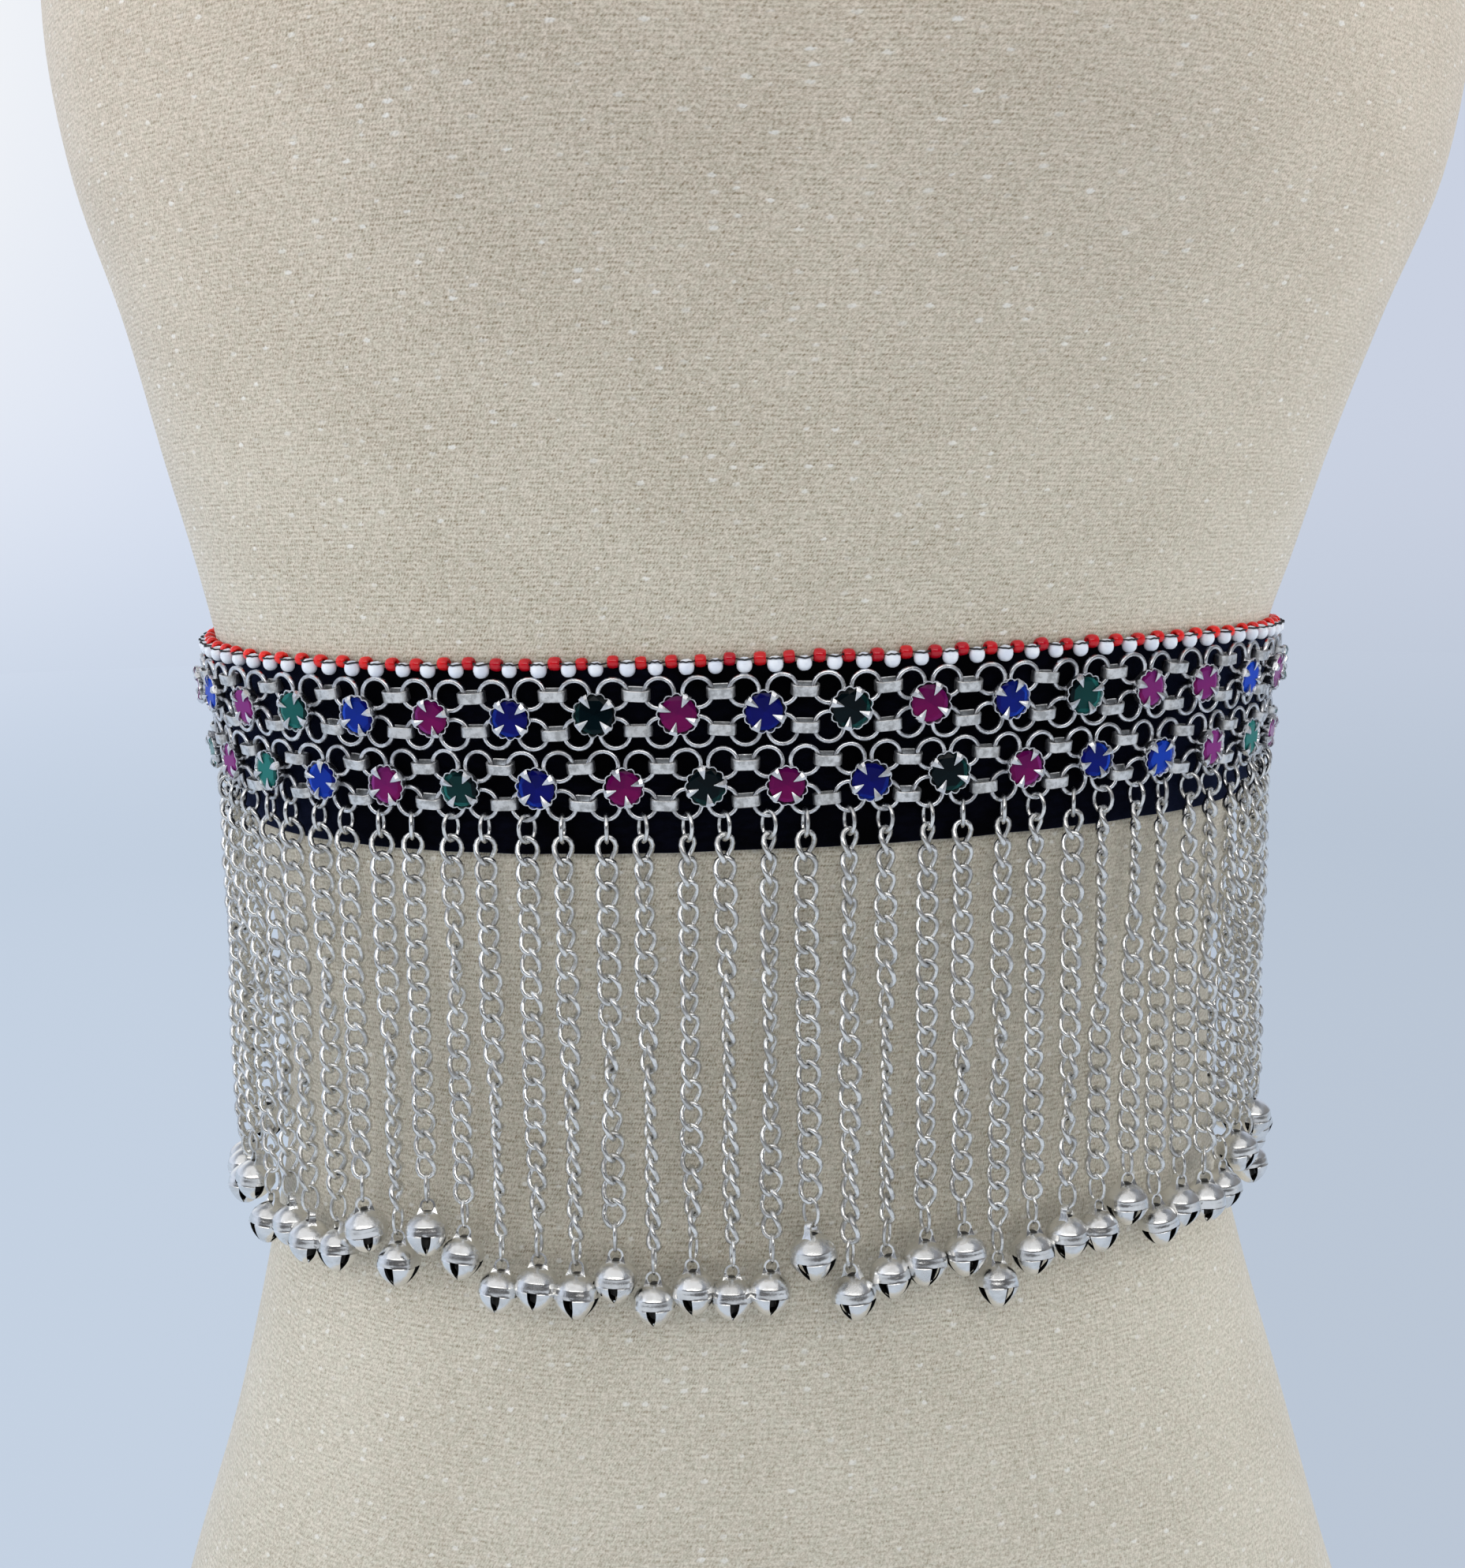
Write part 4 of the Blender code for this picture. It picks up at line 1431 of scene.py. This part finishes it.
def bellPattern():
    # a closed dome on four petals; the slots between them face along x and y
    size = bell
    bm = bmesh.new()
    paintedShadeLayer = bm.faces.layers.float.new("inside")
    ring, domeFaces = bellDome(bm)
    # painted shade: the crown under the loop is painted near black
    for face in domeFaces:
        if face.calc_center_median().z > size["dullAbove"] * mm:
            face[paintedShadeLayer] = size["insideShown"]
    bellPetals(bm, ring)
    facesOut(bm)
    outer = set(bm.faces)
    bmesh.ops.solidify(bm, geom=list(bm.faces), thickness=size["wall"] * mm)
    # painted shade: the inner walls are painted near black
    for face in bm.faces:
        if face not in outer and face.normal.dot(face.calc_center_median()) < 0:
            face[paintedShadeLayer] = 1.0
    before = set(bm.faces)
    # the pellet is painted near black as shade inside the bell
    bmesh.ops.create_icosphere(bm, subdivisions=1, radius=size["pea"] * mm,
                               matrix=Matrix.Translation(Vector(size["peaSpot"]) * mm))
    for face in bm.faces:
        if face not in before:
            face[paintedShadeLayer] = size["insideShown"]
    bellLoop(bm)
    mesh = bpy.data.meshes.new("bell pattern")
    bm.to_mesh(mesh)
    bm.free()
    mesh.shade_smooth()
    mesh.set_sharp_from_angle(angle=math.radians(48))
    return newObject("bell pattern", mesh)


def bellMetal():
    material = platedMetal("bell metal")
    tree = material.node_tree
    surface = tree.nodes["Principled BSDF"].inputs
    colour = surface["Base Color"].links[0].from_socket
    # painted shade: marked faces are near black and not metal
    inside = addNode(tree, "ShaderNodeAttribute", {}, attribute_name="inside")["Fac"]
    feed(tree, surface, {
        "Base Color": blend(tree, inside, colour, bell["inside"]),
        "Metallic": calc(tree, "SUBTRACT", 1.0, inside),
        "Specular IOR Level": bell["specular"]})
    spreadOut(tree)
    return material


def bellPieces(strands, metal):
    shape = bellPattern()
    for label, front in (("front", True), ("back", False)):
        spots = [strand["bell"] for strand in strands if strand["front"] == front]
        piece = grow(f"fringe_bells_{label}", patternTree, pointHost("bell points", spots), metal,
                     Pattern=shape, Wobble=(0.05, 0.05, 0.0), Seed=9)
        settle(piece, ["bell_fringe"])
    bpy.data.objects.remove(shape)


chainMetal = platedMetal("chain metal")
allStrands = strandSpots()
chainPieces(allStrands, chainMetal)
print("chains made")
bellPieces(allStrands, bellMetal())
print("bells made")


# picot of red and white beads sewn along the ribbon's top edge

picot = {
    # profiles give radius and place along the hole, in millimetres
    "pitch": 5.75 * mm,
    "redUp": 0.95 * mm,
    "redOut": 1.45 * mm,
    "whiteDown": 0.22 * mm,
    "whiteOut": 2.50 * mm,
    "redProfile": ((0.38, 0.74), (0.66, 1.08), (1.00, 1.12), (1.28, 0.74), (1.38, 0.0),
                   (1.28, -0.74), (1.00, -1.12), (0.66, -1.08), (0.38, -0.74)),
    "whiteProfile": ((0.42, 1.25), (0.72, 1.50), (1.16, 1.22), (1.50, 0.68), (1.61, 0.0),
                     (1.50, -0.68), (1.16, -1.22), (0.72, -1.50), (0.42, -1.25)),
    "beadSides": 14,
    "thread": 0.38 * mm,
    "threadSag": (0.74 * mm, 0.94 * mm),
    "threadFront": (1.20, 0.12 * mm),                           # of the white bead, and beyond it
    "start": 0.35,                                              # of the pitch
    "shiftAlong": 0.3 * mm,
    "shiftUp": 0.2 * mm,
    "redSpread": 0.07,
    "whiteSpread": 0.049,
    "seed": 51,
}


def beadPattern(name, profile):
    # turned about x, with a hole through it
    rows = []
    for reach, along in profile:
        rows.append([Vector((along, reach * math.cos(angle), reach * math.sin(angle))) * mm
                     for angle in np.linspace(0, math.tau, picot["beadSides"] + 1)[:-1]])
    bm = bmesh.new()
    lines, _ = skin(bm, rows)
    skinLines(bm, [lines[-1], lines[0]])
    return newObject(name, finishMesh(bm, name, 70))


beadLooks = {
    "red": {
        "deep": (0.46, 0.002, 0.014),
        "clear": (0.92, 0.016, 0.004),
        # painted shade colour for the middle of each bead
        "heart": (0.16, 0.0, 0.006),
        "clearToSides": (0.045, 0.105),                         # metres from the middle
        "roughness": (0.05, 0.08),
        "surface": {"Specular IOR Level": 0.30, "Coat Weight": 0.40, "Coat Roughness": 0.05},
    },
    "white": {
        "shaded": (0.68, 0.73, 0.83),
        "milky": (0.80, 0.84, 0.90),
        "roughness": (0.20, 0.10),
        "surface": {"Coat Weight": 0.40, "Coat Roughness": 0.08},
    },
    "thread": {
        "dark": (0.006, 0.006, 0.008),
        "worn": (0.03, 0.03, 0.035),
        "roughness": (0.55, 0.30),
        "surface": {},
        "relief": 0.00004,
    },
}


def beadFinish(tree, surface, look, colour, grain):
    smoothest, vary = look["roughness"]
    rough = calc(tree, "MULTIPLY_ADD", grain, vary, smoothest)
    feed(tree, surface, {"Base Color": colour, "Roughness": rough, **look["surface"]})
    spreadOut(tree)


def redGlass():
    # painted light: clearer, brighter beads toward the sides; painted shade: each darker at its
    # heart, where it faces the eye
    look = beadLooks["red"]
    material, tree, surface = newMaterial("bead red", (0.70, 0.02, 0.02))
    place = coordinates(tree)["Object"]
    x, _, _ = split(tree, place)
    # painted light: beads toward the belt's ends are lit clearer, as if light came through them;
    # the rest varies at random by batch
    aside = remap(tree, calc(tree, "ABSOLUTE", x), *look["clearToSides"])
    batchAndPaintedSides = remap(tree, noise(tree, place, 120.0, 1.0), 0.40, 0.75, 0.0, 0.35)
    batchAndPaintedSides = calc(tree, "MULTIPLY_ADD", aside, 0.65, batchAndPaintedSides)
    streak = noise(tree, stretched(tree, place, (1, 1, 3)), 900.0, 2.0)
    base = blend(tree, batchAndPaintedSides, look["deep"], look["clear"])
    # painted shade: each bead is darker where it faces the eye
    rim = addNode(tree, "ShaderNodeLayerWeight", {"Blend": 0.40})
    dark = blend(tree, calc(tree, "MULTIPLY", streak, 0.5), base, look["heart"])
    heart = calc(tree, "MULTIPLY", calc(tree, "SUBTRACT", 1.0, rim["Facing"]), 0.60)
    beadFinish(tree, surface, look, blend(tree, heart, base, dark), streak)
    return material


def whiteGlass():
    look = beadLooks["white"]
    material, tree, surface = newMaterial("bead white", (0.80, 0.82, 0.85))
    cloud = remap(tree, noise(tree, coordinates(tree)["Object"], 420.0, 2.0), 0.3, 0.7)
    beadFinish(tree, surface, look, blend(tree, cloud, look["shaded"], look["milky"]), cloud)
    return material


def blackThread():
    look = beadLooks["thread"]
    material, tree, surface = newMaterial("black thread", (0.01, 0.01, 0.012))
    ply = noise(tree, coordinates(tree)["Object"], 3600.0, 2.0, 0.7)
    addBump(tree, surface, ply, look["relief"])
    beadFinish(tree, surface, look, blend(tree, ply, look["dark"], look["worn"]), ply)
    return material


def threadStitch(along, pitch, redUp, front, sag):
    # from a red bead out and over the white one that hangs before the next red
    out = picot["redOut"]
    half = pitch / 2
    return [(beltFrame(along + offset, -up, away), 1.0) for offset, up, away in (
        (0.0, redUp, out),
        (1.3 * mm, redUp, out + 0.1 * mm),
        (half - 1.1 * mm, redUp - 0.06 * mm, front - 0.45 * mm),
        (half - 0.6 * mm, sag + 0.14 * mm, front - 0.08 * mm),
        (half, sag, front),
        (half + 0.6 * mm, sag + 0.14 * mm, front - 0.08 * mm),
        (half + 1.1 * mm, redUp - 0.06 * mm, front - 0.45 * mm),
        (pitch - 1.3 * mm, redUp, out + 0.1 * mm),
    )]


def picotPieces():
    size = picot
    chance = random.Random(size["seed"])
    count = round(girth / size["pitch"])
    pitch = girth / count
    reds, whites, line = [], [], []
    for i in range(count):
        along = (i + size["start"]) * pitch + chance.uniform(-1, 1) * size["shiftAlong"]
        redSize = 1 + chance.uniform(-1, 1) * size["redSpread"]
        whiteSize = 1 + chance.uniform(-1, 1) * size["whiteSpread"]
        redUp = size["redUp"] + chance.uniform(-1, 1) * size["shiftUp"]
        reds.append((beltFrame(along, -redUp, size["redOut"]), redSize))
        white = beltFrame(along + pitch / 2, size["whiteDown"], size["whiteOut"])
        whites.append((white @ Matrix.Rotation(math.pi / 2, 4, "Y"), whiteSize))
        share, beyond = size["threadFront"]
        front = size["whiteOut"] + share * whiteSize * mm + beyond
        line += threadStitch(along, pitch, redUp, front, chance.uniform(*size["threadSag"]))
    for name, profile, spots, glass in (
        ("beads_red", size["redProfile"], reds, redGlass()),
        ("beads_white", size["whiteProfile"], whites, whiteGlass()),
    ):
        shape = beadPattern(name + " pattern", profile)
        piece = grow(name, patternTree, pointHost(name + " points", spots), glass,
                     Pattern=shape, Wobble=(0.12, 0.12, 0.12), Seed=2)
        bpy.data.objects.remove(shape)
        settle(piece, ())
    edges = [(i, (i + 1) % len(line)) for i in range(len(line))]
    piece = grow("bead_thread", threadTree(), pointHost("thread points", line, edges),
                 blackThread(), Thickness=size["thread"], Sides=6)
    settle(piece, ())


picotPieces()
print("bead picot made")


# floor, light and camera

studio = {
    "floor": (0.018, 0.018, 0.018),
    "floorNear": (0.61, 0.65, 0.71),
    "floorLeft": (0.538, 0.624, 0.746),
    "floorRight": (0.480, 0.552, 0.658),
    "wallLeft": (0.700, 0.765, 0.900),
    "wallRight": (0.590, 0.642, 0.760),
    "glow": (0.97, 0.97, 0.96),
    "overhead": (0.20, 0.21, 0.23),
    "behindCamera": (0.075, 0.075, 0.08),
    "rightSide": (0.24, 0.24, 0.25),
    "sweepMiddle": (0.0, 0.0, 0.404),
    "glowWay": (-0.50, 0.84, 0.34),
    # where one shade eases into the next, along the way outward from the middle
    "leftToRight": (-0.55, 0.50),
    "floorToWall": (-0.22, 0.10),
    "glowFades": (0.02, 0.48),
    "sideCard": (0.62, 0.88),
    "frontCard": (-0.72, -0.20),
    "overheadCard": (0.35, 0.90),
    "floorRadius": 6.0,
    "floorEase": (-0.60, 0.20),                                 # metres behind the form
    "lights": (
        # name, place, height it aims at, size, watts, colour, whether it shows in the metal
        ("overhead panel", (-0.20, -0.62, 1.30), 0.30, (2.4, 1.4), 6.2, (1.0, 0.99, 0.98), True),
        ("front strip", (-0.10, -1.30, 1.06), 0.28, (2.2, 0.36), 5.0, (1.0, 0.99, 0.98), True),
        ("front fill", (0.10, -1.30, 0.10), 0.24, (1.2, 0.5), 4.7, (0.98, 0.99, 1.0), False),
        ("left panel", (-1.35, -0.20, 0.65), 0.38, (1.2, 1.2), 9.3, (1.0, 0.99, 0.98), False),
        ("right panel", (1.25, -0.05, 0.60), 0.40, (0.8, 1.0), 9.0, (1.0, 0.99, 0.97), False),
        ("back fill", (0.0, 1.50, 0.80), 0.38, (1.0, 1.2), 6.0, (1.0, 0.99, 0.98), False),
    ),
    "camera": {
        "place": (-0.03185, -0.3984, 0.40372),
        "turn": -0.0693,
        "down": 0.1441,
        "roll": -0.0142,
        "sensor": 36,
        "focalPixels": 2049.74,
        "heightPixels": 1988,
    },
}


def makeBackdrop():
    # pale studio sweep: its shade depends only on the way outward from the middle of the room
    colours = {
        "Floor Left": studio["floorLeft"], "Floor Right": studio["floorRight"],
        "Wall Left": studio["wallLeft"], "Wall Right": studio["wallRight"], "Glow": studio["glow"],
    }
    given = {"Way": ("NodeSocketVector", (0.0, 1.0, 0.0))}
    given.update({name: ("NodeSocketColor", (*value, 1.0)) for name, value in colours.items()})
    tree, given, result = shaderGroup("studio backdrop", given, {"Colour": "NodeSocketColor"})
    x, _, z = split(tree, given["Way"])
    rightward = remap(tree, x, *studio["leftToRight"])
    low = blend(tree, rightward, given["Floor Left"], given["Floor Right"])
    wall = blend(tree, rightward, given["Wall Left"], given["Wall Right"])
    room = blend(tree, remap(tree, z, *studio["floorToWall"]), low, wall)
    spots = {0: given["Way"], 1: Vector(studio["glowWay"]).normalized()}
    apart = addNode(tree, "ShaderNodeVectorMath", spots, operation="DISTANCE")["Value"]
    near = remap(tree, apart, *studio["glowFades"], 1.0, 0.0)
    feed(tree, result, {"Colour": blend(tree, near, room, given["Glow"])})
    spreadOut(tree)
    return tree


backdrop = makeBackdrop()


def studioFloor():
    bm = bmesh.new()
    bmesh.ops.create_circle(bm, cap_ends=True, segments=96, radius=studio["floorRadius"])
    mesh = finishMesh(bm, "floor")
    floor = newObject("floor", mesh)
    material, tree, surface = newMaterial("floor", studio["floor"])
    place = coordinates(tree)["Object"]
    spots = {0: place, 1: studio["sweepMiddle"]}
    outward = addNode(tree, "ShaderNodeVectorMath", spots, operation="SUBTRACT")
    way = addNode(tree, "ShaderNodeVectorMath", {0: outward[0]}, operation="NORMALIZE")
    far = placeGroup(tree, backdrop, {"Way": way[0]})["Colour"]
    _, y, _ = split(tree, place)
    beyond = remap(tree, y, *studio["floorEase"])
    shade = [value * 1.03 for value in studio["floor"]]
    feed(tree, surface, {
        "Base Color": blend(tree, noise(tree, place, 3.0, 2.0), studio["floor"], shade),
        "Emission Color": blend(tree, beyond, studio["floorNear"], far),
        "Roughness": 0.9, "Specular IOR Level": 0.0, "Emission Strength": 1.0})
    spreadOut(tree)
    floor.data.materials.append(material)


def studioWorld():
    world = bpy.data.worlds.new("studio")
    bpy.context.scene.world = world
    world.use_nodes = True
    tree = world.node_tree
    way = coordinates(tree)["Generated"]
    sweep = placeGroup(tree, backdrop, {"Way": way})["Colour"]
    x, y, z = split(tree, way)
    room = blend(tree, remap(tree, x, *studio["sideCard"]), sweep, studio["rightSide"])
    front = remap(tree, y, *studio["frontCard"], 1.0, 0.0)
    room = blend(tree, front, room, studio["behindCamera"])
    room = blend(tree, remap(tree, z, *studio["overheadCard"]), room, studio["overhead"])
    # dark cards show in the metal only: the sweep itself is pale all round
    seen = addNode(tree, "ShaderNodeLightPath", {})["Is Camera Ray"]
    feed(tree, tree.nodes["Background"].inputs, {"Color": blend(tree, seen, room, sweep)})
    spreadOut(tree)


def softLight(name, place, aimHeight, size, power, colour, mirrored):
    data = bpy.data.lights.new(name, "AREA")
    data.shape = "RECTANGLE"
    data.size, data.size_y = size
    data.energy = power
    data.color = colour
    lamp = newObject(name, data)
    lamp.visible_glossy = mirrored
    way = Vector(place) - Vector((0, 0, aimHeight))
    lamp.matrix_world = Matrix.Translation(place) @ way.to_track_quat("Z", "Y").to_matrix().to_4x4()


def studioCamera():
    size = studio["camera"]
    data = bpy.data.cameras.new("camera")
    data.sensor_width = size["sensor"]
    data.lens = size["focalPixels"] * size["sensor"] / size["heightPixels"]
    data.clip_start = 0.01
    camera = newObject("camera", data)
    camera.matrix_world = (
        Matrix.Translation(size["place"])
        @ Matrix.Rotation(size["turn"], 4, "Z")
        @ Matrix.Rotation(math.pi / 2 - size["down"], 4, "X")
        @ Matrix.Rotation(size["roll"], 4, "Z")
    )
    bpy.context.scene.camera = camera


studioFloor()
studioWorld()
for lightRow in studio["lights"]:
    softLight(*lightRow)
studioCamera()
bpy.context.scene.view_settings.view_transform = "Standard"
print("studio made")
